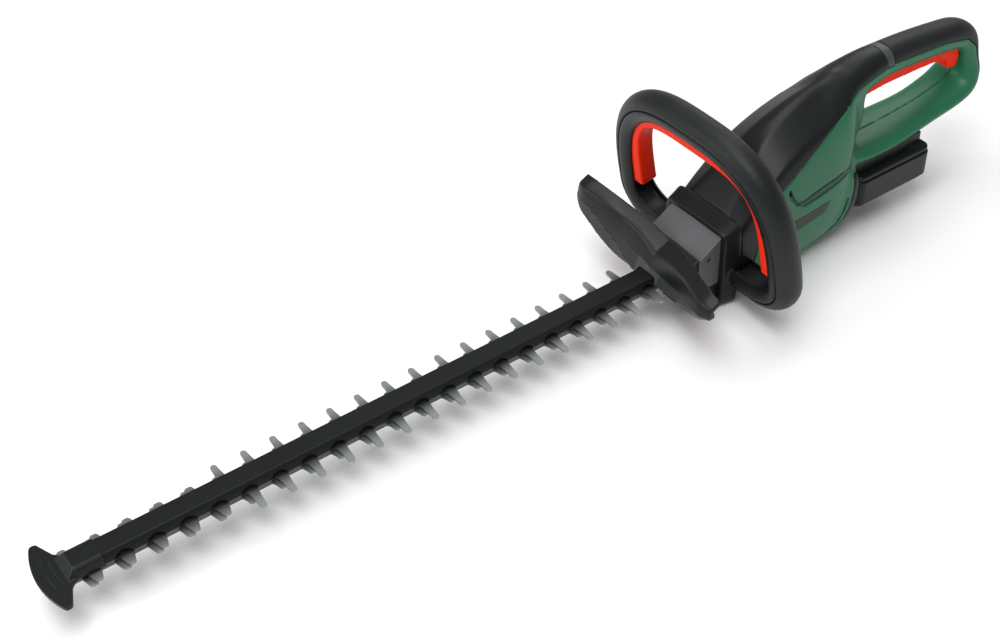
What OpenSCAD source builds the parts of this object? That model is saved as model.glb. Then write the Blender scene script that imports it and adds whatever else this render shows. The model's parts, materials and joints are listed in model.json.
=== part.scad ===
// Cordless hedge trimmer with a 55 cm double-action blade, built as an assembly.
// +X points to the blade tip, +Y to the user's left, +Z up. The origin lies on the
// flat sole, under the crank axis. All sizes are in millimetres.

/* [Blades] */
// Distance between neighbouring teeth of one side
tooth_pitch = 26; // [22:1:30]
// Teeth on each side of a blade
tooth_count = 21; // [12:1:21]
// How many of them, from the tip back, are short saw teeth
saw_count = 5; // [2:1:8]
// Reach of the long teeth from the centre line
tooth_reach = 31; // [27:0.5:34]
// Reach of the shorter teeth of the lower blade
counter_reach = 20.5; // [18:0.5:24]
// Reach of the saw teeth
saw_reach = 21.4; // [18:0.2:24]
// Tooth width at its root
tooth_root_w = 9; // [8:0.5:11]
// Tooth width at its tip
tooth_tip_w = 5.4; // [4:0.2:7]
// Half width of the blade strip between the teeth
strip_half_w = 10.6; // [9.5:0.1:11.5]
// Thickness of one blade
blade_t = 2.2; // [1.8:0.1:2.6]
// Height of the plane between the two blades above the sole
blade_z = 32; // [31:0.5:34]
// Distance of the first left tooth from the crank axis
first_tooth_x = 75; // [72:1:80]
// Full travel of each blade
stroke = 13; // [8:1:14]

/* [Blade rail] */
// Half width of the flat top of the rail
rail_top_half_w = 8.6; // [7:0.1:9]
// Half width of the rail at its skirt
rail_half_w = 11.7; // [11:0.1:12.5]
// Height of the rail above the upper blade
rail_h = 8.6; // [7:0.2:10]
// Thickness of the steel strip under the blades
guide_t = 2.5; // [2:0.1:3]
// Number of bolts that hold the blade stack
guide_bolt_count = 6; // [4:1:8]
// Shank diameter of a blade bolt
guide_bolt_d = 5; // [4:0.5:6]

/* [Crank drive] */
// Gear module of the drive
gear_module = 1; // [1:0.05:1.05]
// Teeth of the crank gear
gear_teeth = 60; // [56:1:60]
// Teeth of the motor pinion
pinion_teeth = 10; // [9:1:12]
// Face width of the crank gear
gear_face = 7; // [5:0.5:8]
// Diameter of the crank shaft
crank_d = 10; // [9:0.5:10.5]
// Diameter of each eccentric
eccentric_d = 26; // [25:0.5:26]
// Outer diameter of the crank bearings
crank_bearing_d = 22; // [19:1:24]

/* [Motor] */
// Outer diameter of the motor
motor_d = 43; // [40:1:44]
// Length of the stator pack
stator_h = 24; // [20:1:26]
// Diameter of the rotor
rotor_d = 24; // [20:1:26]
// Diameter of the motor shaft
motor_shaft_d = 5; // [4:0.5:6]

/* [Body] */
// Wall of the moulded shells
wall = 2.8; // [2.4:0.1:3.2]
// Half width of the body behind the front handle
body_half_w = 42; // [40:0.5:45]
// Half width of the rear grip
grip_half_w = 16; // [14.5:0.5:17.5]
// Half width of the scoop under the rear opening
scoop_half_w = 28.5; // [27:0.5:31]

/* [Front handle] */
// Half width of the loop, measured at the middle of its tube
loop_half_w = 99; // [94:0.5:104]
// Rise of the loop above its widest place
loop_rise = 113; // [105:0.5:120]
// Radius of the tube of the loop
loop_r = 14.5; // [13.5:0.5:16]
// Forward lean of the loop
loop_lean = 10.2; // [6:0.2:14]
// Travel of the switch bow
bow_travel = 3.5; // [2:0.5:4]

/* [Hand guard] */
// Half width of the hand guard
guard_half_w = 97; // [90:1:104]
// How much further forward the left end of the guard stands than the right
guard_lead = 14; // [10:1:15]
// How much lower the left end of the guard hangs than the right
guard_drop = 13; // [9:1:15]
// Thickness of the hand guard
guard_t = 5; // [4:0.5:6]

/* [Tip guard] */
// Half width of the fan at the tip
fan_half_w = 35; // [32:0.5:38]
// Thickness of the fan
fan_t = 3.6; // [3:0.2:4.4]

/* [Battery] */
// Length of the battery pack
pack_l = 93; // [88:1:100]
// Half width of the battery pack
pack_half_w = 37; // [35:0.5:38]
// Height of the pack's lower shell
pack_h = 29; // [26:0.5:32]

/* [Hidden] */

// Clearances
seat_gap = 0.05;
slide_gap = 0.1;
run_gap = 0.3;
move_gap = 0.5;

// Heights of the blade stack, from the sole up
guide_z1 = blade_z - blade_t - slide_gap * 2.5;
guide_z0 = guide_z1 - guide_t;
lower_z0 = blade_z - blade_t - slide_gap / 2;
upper_z0 = blade_z + slide_gap / 2;
upper_z1 = upper_z0 + blade_t;
rail_z0 = upper_z1 + slide_gap * 2;
rail_z1 = rail_z0 + rail_h;
bar_h = 4;
bar_half_w = 7.6;

// Places along the blade
rest_shift = 2;
last_tooth_x = first_tooth_x + tooth_pitch * (tooth_count - 1);
rail_x0 = 38;
rail_x1 = last_tooth_x + tooth_pitch / 2 - 2;
strip_end_x = last_tooth_x + 21;
bush_d = guide_bolt_d + 3;
clamp_x = 49;
first_bolt_x = first_tooth_x + tooth_pitch * 1.25;
tip_bolt_x = last_tooth_x + 5;
bolt_xs = concat([clamp_x], [for (k = [0:guide_bolt_count - 1])
    first_bolt_x + (tip_bolt_x - first_bolt_x) * k / (guide_bolt_count - 1)]);

// Crank drive
gear_r = gear_module * gear_teeth / 2;
pinion_r = gear_module * pinion_teeth / 2;
tip_extra = 0.8 * gear_module;
root_depth = 1.2 * gear_module;
motor_x = -(gear_r + pinion_r);
crank_throw = stroke / 2;
crank_turn = acos(-rest_shift / crank_throw);
eccentric_t = 4;
high_eccentric_z = upper_z1 + run_gap;
low_eccentric_z = lower_z0 - run_gap - eccentric_t;
gear_z = high_eccentric_z + eccentric_t;
bearing_h = 6;
high_bearing_z = gear_z + gear_face + 2.6;
low_bearing_z = low_eccentric_z - 2 - bearing_h;
yoke_wall = 7;

// Gear case
case_half_w = gear_r + tip_extra + 2.2;
case_front_x = case_half_w + 4;
case_split_z = low_eccentric_z - 0.5;
case_roof_z = gear_z + gear_face + 1.4;
case_deck_z = case_roof_z + 3;
case_back_x = motor_x - 25;
case_top_front_z = 60;
case_top_rear_x = 13;
case_top_rear_z = 75;
nose_x = 60;
block_x = motor_x + motor_d / 2 + 1;
nose_half_w = 17;
case_bottom_z = 7;

// Motor
rotor_z0 = case_deck_z + 5;
can_z1 = rotor_z0 + stator_h + 6;
fan_z = can_z1 + 2;
fan_h = 6;
fan_d = motor_d * 0.75;
motor_bearing_d = motor_shaft_d + 9;
motor_bearing_h = 5;

// Battery
pack_x1 = -153;
pack_x0 = pack_x1 - pack_l;
pack_z0 = 29;
pack_z1 = pack_z0 + pack_h;
pack_top_z = 69;
dock_rail_half_w = 24;

// Body sections: x, height of the widest place, turn of the plane, half width, rise, drop, squareness,
// and for the body how far its shoulders are planed flat
facets = 28;
shoulder_lean = 56;
body_front_x = -1.3;
body = [
    [body_front_x, 46, 0, body_half_w - 0.5, 39, 46.6, 4.6, 0.96],
    [-24, 50, 0, body_half_w + 0.3, 60, 50.7, 4, 0.945],
    [-50, 55, 0, body_half_w + 0.4, 81, 55.9, 3.5, 0.93],
    [-82, 62, 0, body_half_w, 91.5, 63, 3.1, 0.925],
    [-117, 70, 0, body_half_w - 1.5, 94, 70, 2.8, 0.93],
    [-134, 84, 0, body_half_w - 5, 84, 70, 2.8, 0.95],
    [-144, 100, 0, body_half_w - 12, 68, 31, 2.6, 0.97],
    [-154, 116, 0, body_half_w - 19, 52.5, 40, 2.4, 1],
    [-165, 130, 0, body_half_w - 22.5, 40, 30, 2.3, 1]
];
foot = [
    [-110, 50, 0, body_half_w - 4, 40, 49.5, 3.2],
    [-138, 50, 0, body_half_w - 4.5, 35, 42, 3],
    [-147, 52, 0, body_half_w - 5.2, 29, 34, 3],
    [pack_x1 + 0.4, 53, 0, body_half_w - 6, 26, 31, 3]
];
handle = [
    [-96, 117, -34, body_half_w - 14, 20.5, 18, 2.8],
    [-118, 134, -28, body_half_w - 15, 22, 18, 2.6],
    [-142, 147, -20, grip_half_w + 8, 19.5, 18, 2.4],
    [-168, 154.5, -11, grip_half_w + 4, 17, 16.5, 2.3],
    [-197, 157, -3, grip_half_w + 0.5, 15.3, 15.5, 2.3],
    [-232, 155.6, 3, grip_half_w, 15, 15, 2.3],
    [-268, 152.2, 6, grip_half_w, 14.6, 14.4, 2.3],
    [-293, 148, 15, grip_half_w, 14.8, 13.4, 2.3],
    [-306, 138, 52, grip_half_w, 15.4, 12.4, 2.3],
    [-311, 121.5, 80, grip_half_w + 2, 12.8, 11.5, 2.3],
    [-312.5, 107.5, 95, grip_half_w + 6, 12.8, 12.2, 2.3],
    [-306.5, 95.5, 126, grip_half_w + 9, 11.5, 12.4, 2.3],
    [-290, 87.5, 158, grip_half_w + 9.5, 8.5, 11.4, 2.3],
    [-255, 81.5, 174, scoop_half_w - 3, 8, 10.4, 2.2],
    [-205, 79, 180, scoop_half_w + 1.5, 8.5, 9.3, 2.2],
    [-165, 79.5, 180, scoop_half_w + 2, 9.5, 9.5, 2.2],
    [-140, 83.5, 180, scoop_half_w + 0.5, 12, 13, 2.2]
];

// Section outline with its own rise, drop and squareness
function ring(a, rise, drop, e, n) = [for (k = [0:n - 1])
    let (t = 360 * k / n, c = cos(t), s = sin(t), b = s >= 0 ? rise : drop)
    [a * sign(c) * pow(abs(c), 2 / e), b * sign(s) * pow(abs(s), 2 / e)]];
function arc(cx, cy, r, a0, a1, n) = [for (k = [0:n]) let (t = a0 + (a1 - a0) * k / n)
    [cx + r * cos(t), cy + r * sin(t)]];
function mirrored(pts) = [for (k = [len(pts) - 1:-1:0]) [pts[k][0], -pts[k][1]]];

// Section of the body in space, and the smooth solid through a list of them
function planed(pts, lean, share) = let (
    n = [cos(lean), sin(lean)],
    far = share * max([for (p = pts) abs(p[0]) * n[0] + p[1] * n[1]]))
    [for (p = pts) let (over = max(0, abs(p[0]) * n[0] + p[1] * n[1] - far))
        [p[0] - sign(p[0]) * over * n[0], p[1] - over * n[1]]];
function section(st, inset = 0) = let (
    oval = ring(st[3] - inset, st[4] - inset, st[5] - inset, st[6], facets),
    pts = is_undef(st[7]) ? oval : planed(oval, shoulder_lean, st[7]))
    [for (p = pts) [st[0] - p[1] * sin(st[2]), p[0], st[1] + p[1] * cos(st[2])]];
function moved(pts, x) = [for (p = pts) [p[0] + x, p[1], p[2]]];
section_cap = [[for (k = [0:facets - 1]) k]];
module between(a, b) {
    skin([a, b], section_cap);
}
module chain(stations, inset = 0) {
    skin([for (k = [len(stations) - 1:-1:0]) section(stations[k], inset)], section_cap);
}
// Side view outline, spread across the width
module across(half_w) {
    rotate([90, 0, 0])
    linear_extrude(2 * half_w, center = true)
    children();
}
module along(x0, x1) {
    translate([x0, 0, 0])
    rotate([90, 0, 90])
    linear_extrude(x1 - x0)
    children();
}
module both_sides() {
    children();
    mirror([0, 1, 0]) children();
}

// Solid through a list of section rings with equal point counts; cap lists the faces that close an end
function side_faces(n, m) = [for (i = [0:m - 2]) for (k = [0:n - 1]) for (q = [0, 1]) q == 0
    ? [i * n + k, (i + 1) * n + k, i * n + (k + 1) % n]
    : [i * n + (k + 1) % n, (i + 1) * n + k, (i + 1) * n + (k + 1) % n]];
module skin(rings, cap) {
    n = len(rings[0]);
    m = len(rings);
    polyhedron(
        points = [for (r = rings) for (p = r) p],
        faces = concat(
            side_faces(n, m), cap,
            [for (f = cap) [for (k = [len(f) - 1:-1:0]) f[k] + (m - 1) * n]]),
        convexity = 8);
}
module coil(length, d, wire, turns) {
    steps = round(turns * 9);
    skin([for (i = [0:steps]) let (a = 360 * turns * i / steps, z = wire / 2 + (length - wire) * i / steps)
        [for (k = [0:4]) let (r = d / 2 - wire / 2 + wire / 2 * cos(72 * k))
            [r * cos(a), r * sin(a), z - wire / 2 * sin(72 * k)]]], [[0, 1, 2, 3, 4]]);
}

// ---------------------------------------------------------------- body shells
module below_sole() {
    translate([-200, -50, -20]) cube([300, 100, 20]);
}
module body_skin() {
    difference() {
        union() {
            chain(body);
            chain(foot);
            chain(handle);
        }
        below_sole();
        chain(body, wall);
        chain(foot, wall);
        chain(handle, wall);
        between(section(body[0], wall), moved(section(body[0], wall), 5));
    }
}
cover_line = [[-13, -5], [-19, 40], [-30, 80], [-47, 99.5], [-66, 111.5], [-82, 122], [-98, 131],
    [-115, 140], [-134, 148], [-154, 154.5],
    [-190, 159]];
ring_x0 = -199;
ring_x1 = -190;
ring_z0 = 158;
grip_line = [[-199, 159.2], [-268, 154.5], [-298, 148], [-311, 136.5], [-316.5, 118], [-319, 100],
    [-350, 90]];
sole_line = [[-98, -5], [-110, 4], [-127, 13.5], [-137, 27], [-142.5, 45], [-146, 71], [-180, 71],
    [-180, -5]];
module cover_zone() {
    across(60) polygon(concat(cover_line, [[ring_x1, 200], [10, 200], [10, -5]]));
}
module ring_zone() {
    across(60) polygon([[ring_x0, ring_z0], [ring_x1, ring_z0], [ring_x1, 200], [ring_x0, 200]]);
}
module grip_zone() {
    across(60) polygon(concat(grip_line, [[-350, 200], [ring_x0, 200]]));
}
module sole_zone() {
    across(60) polygon(sole_line);
}
// ribs and bosses inside one half of the body
board_x0 = -128;
board_l = 56;
screw_places = [[-84, 104], [-68, 20], [-128, 112], [-205, 81], [-311, 104], [-307.5, 137]];
module solid_body() {
    chain(body, 0.5);
    chain(foot, 0.5);
    chain(handle, 0.5);
}
module boss(d, reach) {
    // tapered, so that it leaves the mould
    rotate([-90, 0, 0]) hull() {
        cylinder(h = 0.1, d = d, $fn = 24);
        translate([0, 0, reach]) cylinder(h = 0.1, d = d + reach / 20, $fn = 24);
    }
}
module inner_works() {
    intersection() {
        solid_body();
        union() {
            for (x = [board_x0 + 6, board_x0 + board_l - 8])
                hull() {
                    translate([x, 22, 3]) cube([2.4, 0.1, 48.9]);
                    translate([x - 0.3, 45, 3]) cube([3, 0.1, 48.9]);
                }
            translate([trigger_pivot[0], trigger_half_w + run_gap, trigger_pivot[1]]) boss(9, 20);
            translate([spring_x - 5, 0.05, trigger_top_z + spring_l + 0.2]) cube([10, 30, 2.4]);
            translate([switch_x + 4, 5.1, switch_z + 2]) cube([14, 30, 4]);
            for (p = screw_places)
                translate([p[0], 0.05, p[1]]) boss(11, 50);
        }
    }
}
module housing_half() {
    difference() {
        union() {
            housing_shell();
            difference() {
                inner_works();
                cover_zone();
                ring_zone();
                grip_zone();
                sole_zone();
            }
        }
        dock_space(0.1);
        translate([trigger_pivot[0], 0, trigger_pivot[1]]) rotate([90, 0, 0])
            cylinder(h = 2 * trigger_half_w + 7.4, d = trigger_pin_d + 0.06, center = true, $fn = 32);
        insert_zone(1.05, 0.1);
        difference() {
            groove_zone();
            chain(body, 1.6);
        }
    }
}
// groove and label plate in the side
insert_line = [[-58, 61], [-111, 64.6], [-105.5, 53.6], [-58, 47]];
groove_line = [[-54.5, 98], [-57.5, 88], [-64.5, 77.5], [-76, 72], [-99.5, 74.8], [-122, 79.3], [-140, 82.5],
    [-140, 89.5], [-97.5, 85], [-74.5, 80], [-66, 82], [-60.5, 89.5], [-57.5, 98]];
module groove_zone() {
    translate([0, 30, 0]) across(20) polygon(groove_line);
}
module insert_zone(depth, grow) {
    difference() {
        translate([0, 30, 0]) across(20) offset(delta = grow) polygon(insert_line);
        chain(body, depth);
    }
}
body_span = 420;
body_top_z = 200;
module left_half() {
    translate([20 - body_span, 0, 0]) cube([body_span, body_half_w + 10, body_top_z]);
}
module housing_shell() {
    difference() {
        intersection() {
            body_skin();
            left_half();
        }
        cover_zone();
        ring_zone();
        grip_zone();
        sole_zone();
        trigger_slot();
    }
}
slot_h = 23;
module trigger_slot() {
    translate([trigger_x0 - 2, -trigger_half_w - run_gap, trigger_top_z - slot_h])
        cube([trigger_x1 - trigger_x0 + 2, 2 * (trigger_half_w + run_gap), slot_h + 1]);
}
screw_d = 4;
module screw_wells() {
    for (p = screw_places)
        translate([p[0], 0, p[1]]) rotate([-90, 0, 0]) {
            translate([0, 0, -1]) cylinder(h = 8, d = screw_d + 0.1, $fn = 24);
            translate([0, 0, 6]) cylinder(h = 60, d = 2 * screw_d + 0.4, $fn = 24);
        }
}
module housing_left() {
    color("seagreen") difference() {
        housing_half();
        for (p = screw_places)
            translate([p[0], 0, p[1]]) rotate([-90, 0, 0]) cylinder(h = 8.2, d = screw_d + 0.1, $fn = 24);
    }
}
module housing_right() {
    color("seagreen") mirror([0, 1, 0]) difference() {
        housing_half();
        screw_wells();
    }
}
module top_cover() {
    color([0.13, 0.14, 0.14]) intersection() {
        body_skin();
        cover_zone();
    }
}
module grip_ring() {
    color([0.3, 0.33, 0.33]) intersection() {
        body_skin();
        ring_zone();
    }
}
module rear_grip() {
    color([0.1, 0.11, 0.11]) intersection() {
        body_skin();
        grip_zone();
    }
}
module sole_cover() {
    color([0.14, 0.15, 0.15]) difference() {
        intersection() {
            body_skin();
            sole_zone();
        }
        dock_space(0.1);
    }
}

// --------------------------------------------------------------- front handle
loop_e = 2.9;
loop_mid_z = 63;
loop_corner_w = 33;
loop_corner_h = 29;
loop_foot_x = -10.8;
seam_r = 3;
core_r = 7.5;
core_half_d = 10.8;
groove_r = -4.5;
groove_half_d = 9.2;
bow_show = 7;
bow_half_d = 8.9;
loop_turns = [90, 80, 70, 60, 50, 40, 30, 20, 10];

function upper_point(t) = [
    loop_half_w * pow(cos(t), 2 / loop_e), loop_mid_z + loop_rise * pow(sin(t), 2 / loop_e)];
function upper_turn(t) = atan2(pow(sin(t), 2 - 2 / loop_e) / loop_rise,
    pow(cos(t), 2 - 2 / loop_e) / loop_half_w);
function corner_point(t) = [
    loop_half_w - loop_corner_w + loop_corner_w * cos(t), loop_mid_z + loop_corner_h * sin(t)];
function corner_turn(t) = atan2(sin(t) / loop_corner_h, cos(t) / loop_corner_w);
bow_end_s = loop_mid_z + 4.5;
loop_path = concat(
    [for (t = loop_turns) [upper_point(t), upper_turn(t)]],
    [[[loop_half_w, bow_end_s], 0], [[loop_half_w, bow_end_s - 0.5], 0], [[loop_half_w, loop_mid_z], 0]],
    [for (t = [-22.5, -45, -67.5, -90]) [corner_point(t), corner_turn(t)]],
    [[[body_half_w + 0.9, loop_mid_z - loop_corner_h], -90]]);
function whole(path) = concat(
    [for (k = [len(path) - 1:-1:1]) [[-path[k][0][0], path[k][0][1]], 180 - path[k][1]]], path);
bow_path = concat(
    [for (t = loop_turns) [upper_point(t), upper_turn(t)]],
    [[[loop_half_w, bow_end_s + 0.5], 0]]);

// Section of the loop: the first number is outward from the middle of the loop, the second front to back
function loop_ring(st, pts) = [for (p = pts)
    [-p[1], st[0][0] + p[0] * cos(st[1]), st[0][1] + p[0] * sin(st[1])]];
module at_loop() {
    translate([loop_foot_x, 0, 0])
    rotate([0, loop_lean, 0])
    children();
}
seam_angle = acos(seam_r / loop_r);
lip_angle = 180 - asin(groove_half_d / loop_r);
function on_tube(a) = [loop_r * cos(a), loop_r * sin(a)];
frame_side = [on_tube(lip_angle), on_tube((2 * lip_angle + seam_angle) / 3),
    on_tube((lip_angle + 2 * seam_angle) / 3), on_tube(seam_angle),
    [seam_r, core_half_d], [core_r - 3, core_half_d], [core_r, core_half_d - 3]];
function frame_section(grooved) = concat(
    frame_side, mirrored(frame_side),
    grooved ? [[groove_r, -groove_half_d], [groove_r, groove_half_d]] : [on_tube(194), on_tube(166)]);
frame_cap = [[1, 2, 3, 4], [0, 1, 4], [0, 4, 9, 13], [4, 5, 8, 9], [5, 6, 7, 8], [9, 10, 11, 12],
    [9, 12, 13], [0, 13, 14, 15]];
frame_stations = concat(
    [for (k = [0:len(loop_path) - 1]) [loop_path[k], k <= len(loop_turns)]],
    [[[[20, loop_mid_z - loop_corner_h], -90], false]]);
function other_side(st) = [[-st[0][0], st[0][1]], 180 - st[1]];
frame_rings = concat(
    [for (k = [len(frame_stations) - 1:-1:1])
        loop_ring(other_side(frame_stations[k][0]), frame_section(frame_stations[k][1]))],
    [for (st = frame_stations) loop_ring(st[0], frame_section(st[1]))]);
tube_steps = 14;
grip_outside = arc(0, 0, loop_r, -seam_angle, seam_angle, tube_steps);
grip_h = core_half_d + seat_gap;
grip_c = core_r + seat_gap;
grip_shoulder = [[seam_r, grip_h], [(seam_r + core_r - 3) / 2, grip_h], [core_r - 3, grip_h]];
grip_inside = concat(
    [for (p = grip_shoulder) [p[0], -p[1]]],
    [for (k = [0:8]) [grip_c, (core_half_d - 3) * (k / 4 - 1)]],
    [for (k = [2:-1:0]) grip_shoulder[k]]);
grip_section = concat(
    [for (k = [tube_steps:-1:0]) grip_outside[k]], grip_inside);
function strip_cap(n) = [for (k = [0:n / 2 - 2]) [k, k + 1, n - 2 - k, n - 1 - k]];
bow_in = -loop_r - bow_show;
bow_out = groove_r - bow_travel - 0.6;
bow_t = 2.5;
bow_section = [
    [bow_out, -bow_half_d], [bow_in + 3, -bow_half_d], [bow_in, -bow_half_d + 3],
    [bow_in, bow_half_d - 3], [bow_in + 3, bow_half_d], [bow_out, bow_half_d],
    [bow_out, bow_half_d - bow_t], [bow_in + 4, bow_half_d - bow_t], [bow_in + bow_t, bow_half_d - 4.2],
    [bow_in + bow_t, -bow_half_d + 4.2], [bow_in + 4, -bow_half_d + bow_t], [bow_out, -bow_half_d + bow_t]];

collar_x0 = -1;
collar_x1 = 15;
collar_square = 9;
module collar_ring() {
    difference() {
        between(
            section([collar_x0, 45, 0, body_half_w + 0.6, 41, 46.2, collar_square]),
            section([collar_x1, 42, 0, body_half_w - 2.4, 38.5, 43.2, collar_square]));
        below_sole();
        gear_case_outline(seat_gap);
        case_cover_outline(seat_gap);
    }
}
module loop_frame() {
    color([0.16, 0.17, 0.17]) {
        difference() {
            at_loop() skin(frame_rings, frame_cap);
            front_switch_pocket();
            translate([-30, -body_half_w - 0.7, 0]) cube([30 + collar_x0 - 0.1, 2 * body_half_w + 1.4, 60]);
            gear_case_outline(seat_gap);
            case_cover_outline(seat_gap);
        }
        collar_ring();
        bow_spring_places() translate([0, 0, groove_drop - 1]) cylinder(h = 3, d = 8, $fn = 32);
    }
}
module loop_grip() {
    color([0.11, 0.12, 0.12]) at_loop()
        skin([for (st = whole(loop_path)) loop_ring(st, grip_section)], strip_cap(2 * tube_steps + 2));
}
module switch_bow() {
    color("orangered") {
        at_loop() skin([for (st = whole(bow_path)) loop_ring(st, bow_section)], strip_cap(12));
        bow_spring_places() translate([0, 0, -2]) cylinder(h = 3, d = 9, $fn = 32);
        // lug that pushes the switch
        front_switch_place() translate([-3, bow_in + 1, -9]) cube([6, -1.3 - bow_in - 1, 3.7]);
    }
}
bow_spring_y = 24;
bow_spring_d = 6;
bow_floor_s = loop_mid_z + loop_rise + bow_in + bow_t - 1.9;
groove_drop = 14.4;
module bow_spring_places() {
    at_loop()
        for (s = [-1, 1])
            translate([0, s * bow_spring_y, bow_floor_s])
            children();
}
module bow_springs() {
    color("silver") bow_spring_places()
        translate([0, 0, 1.05])
        coil(groove_drop - 2.1, bow_spring_d, 0.9, 5);
}
front_switch_s = loop_mid_z + 16;
module front_switch_place() {
    at_loop() translate([0, loop_half_w - 1.2, front_switch_s]) children();
}
module front_switch_pocket() {
    front_switch_place() translate([-5.1, groove_r - 1, -10]) cube([10.2, 10.3, 30.1]);
}
module front_switch() {
    color("dimgray") front_switch_place() {
        translate([-5, groove_r + 0.2, 0]) cube([10, 9, 20]);
        translate([-1.5, -4, -1.5]) cube([3, 2.6, 1.6]);
    }
}

// ----------------------------------------------------------------- hand guard
// Stations from the middle to the end: [y, then x and z of the lower edge, of the crease,
// of the front ridge and of the rear top edge]
guard = [
    [0, 70, 39, 65, 47, 60, 58, 47, 64],
    [20, 70.2, 39.3, 64.5, 51, 60, 66, 49, 70.5],
    [42, 70.5, 40, 65, 56, 62.5, 72, 53, 76],
    [58, 73.5, 48.5, 68, 62, 66.5, 77, 57.5, 81.5],
    [72, 75, 57.5, 71, 67, 69.5, 80, 60.5, 85],
    [86, 75.5, 66.5, 73, 71.5, 71.5, 83, 62.5, 87],
    [97, 70.5, 74, 70, 76, 68.5, 83, 62, 86]
];
bracket_half_w = 28;
module guard_bead(st, p) {
    translate([st[1 + 2 * p] - guard_t / 2, st[0] * guard_half_w / 97, st[2 + 2 * p]])
        rotate([90, 0, 0]) cylinder(h = 0.02, d = guard_t, center = true, $fn = 14);
}
function swung(st) = let (w = st[0] / 97, v = max(0, st[0] - 42) / 69)
    [st[0], st[1] + guard_lead * v, st[2] - guard_drop * v, st[3] + guard_lead * w, st[4] - guard_drop * w,
    st[5] + guard_lead * w, st[6] - guard_drop * w, st[7] + guard_lead * w, st[8] - guard_drop * w];
module guard_panel(a, b, p) {
    hull()
        for (st = [a, b]) {
            guard_bead(st, p);
            guard_bead(st, p + 1);
        }
}
module hand_guard() {
    color([0.17, 0.18, 0.18]) difference() {
        union() {
            for (k = [0:len(guard) - 2])
                for (p = [0:2]) {
                    guard_panel(swung(guard[k]), swung(guard[k + 1]), p);
                    mirror([0, 1, 0]) guard_panel(guard[k], guard[k + 1], p);
                }
            // bracket that seats on the nose of the gear case
            translate([case_front_x + 0.2, -bracket_half_w, case_bottom_z + 18])
                cube([62 - case_front_x, 2 * bracket_half_w, 36]);
        }
        along(rail_x0 - 5, 90) rail_outline(0.4);
        translate([30, -nose_half_w - seat_gap, case_bottom_z])
            cube([nose_x - 30 + seat_gap, 2 * (nose_half_w + seat_gap), 39.5]);
        translate([50, -strip_half_w - 4, guide_z0 - 3])
            cube([40, 2 * strip_half_w + 8, rail_z0 - guide_z0 + 5]);
    }
}

// ------------------------------------------------------------------ gear case
yoke_room_x = eccentric_d / 2 + 2 * seat_gap + yoke_wall + crank_throw + move_gap;
yoke_room_y = eccentric_d / 2 + crank_throw + yoke_wall - 0.8 + move_gap;
module gear_case_outline(grow = 0) {
    across(case_half_w + grow) offset_side(grow);
    translate([case_front_x - 4, -nose_half_w - grow, case_split_z])
        cube([nose_x - case_front_x + 4, 2 * (nose_half_w + grow), rail_z1 + 3 - case_split_z + grow]);
}
module offset_side(grow) {
    polygon([
        [case_back_x - grow, case_split_z - 1], [case_back_x - grow, case_deck_z + grow],
        [block_x - grow, case_deck_z + grow], [block_x - grow, case_top_rear_z + grow],
        [case_top_rear_x + grow, case_top_rear_z + grow], [case_front_x + grow, case_top_front_z + grow],
        [case_front_x + grow, case_split_z - 1]]);
}
module case_cover_outline(grow = 0) {
    across(case_half_w + grow) polygon([
        [0, case_split_z], [case_front_x + grow, case_split_z], [case_front_x + grow, case_bottom_z + 5],
        [case_front_x - 6, case_bottom_z - grow], [0.4, case_bottom_z - grow], [0, case_bottom_z + 5]]);
    // the part inside the body is cut back at its lower corners
    intersection() {
        across(case_half_w + grow) polygon([
            [case_back_x - grow, case_split_z], [0.4, case_split_z], [0.4, case_bottom_z + 4.5 - grow],
            [-28, case_bottom_z + 4.5 - grow], [case_back_x - grow, case_bottom_z + 9]]);
        along(case_back_x - 1, 1) polygon([
            [-case_half_w - 1, case_split_z], [case_half_w + 1, case_split_z],
            [case_half_w + 1, case_bottom_z + 11.5], [case_half_w - 7, case_bottom_z + 3.5],
            [7 - case_half_w, case_bottom_z + 3.5], [-case_half_w - 1, case_bottom_z + 11.5]]);
    }
}
case_screw_xs = [-48, -19, 22];
case_screw_y = case_half_w - 5;
module case_screw_places() {
    for (x = case_screw_xs)
        for (s = [-1, 1])
            translate([x, s * case_screw_y, 0]) children();
}
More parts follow.
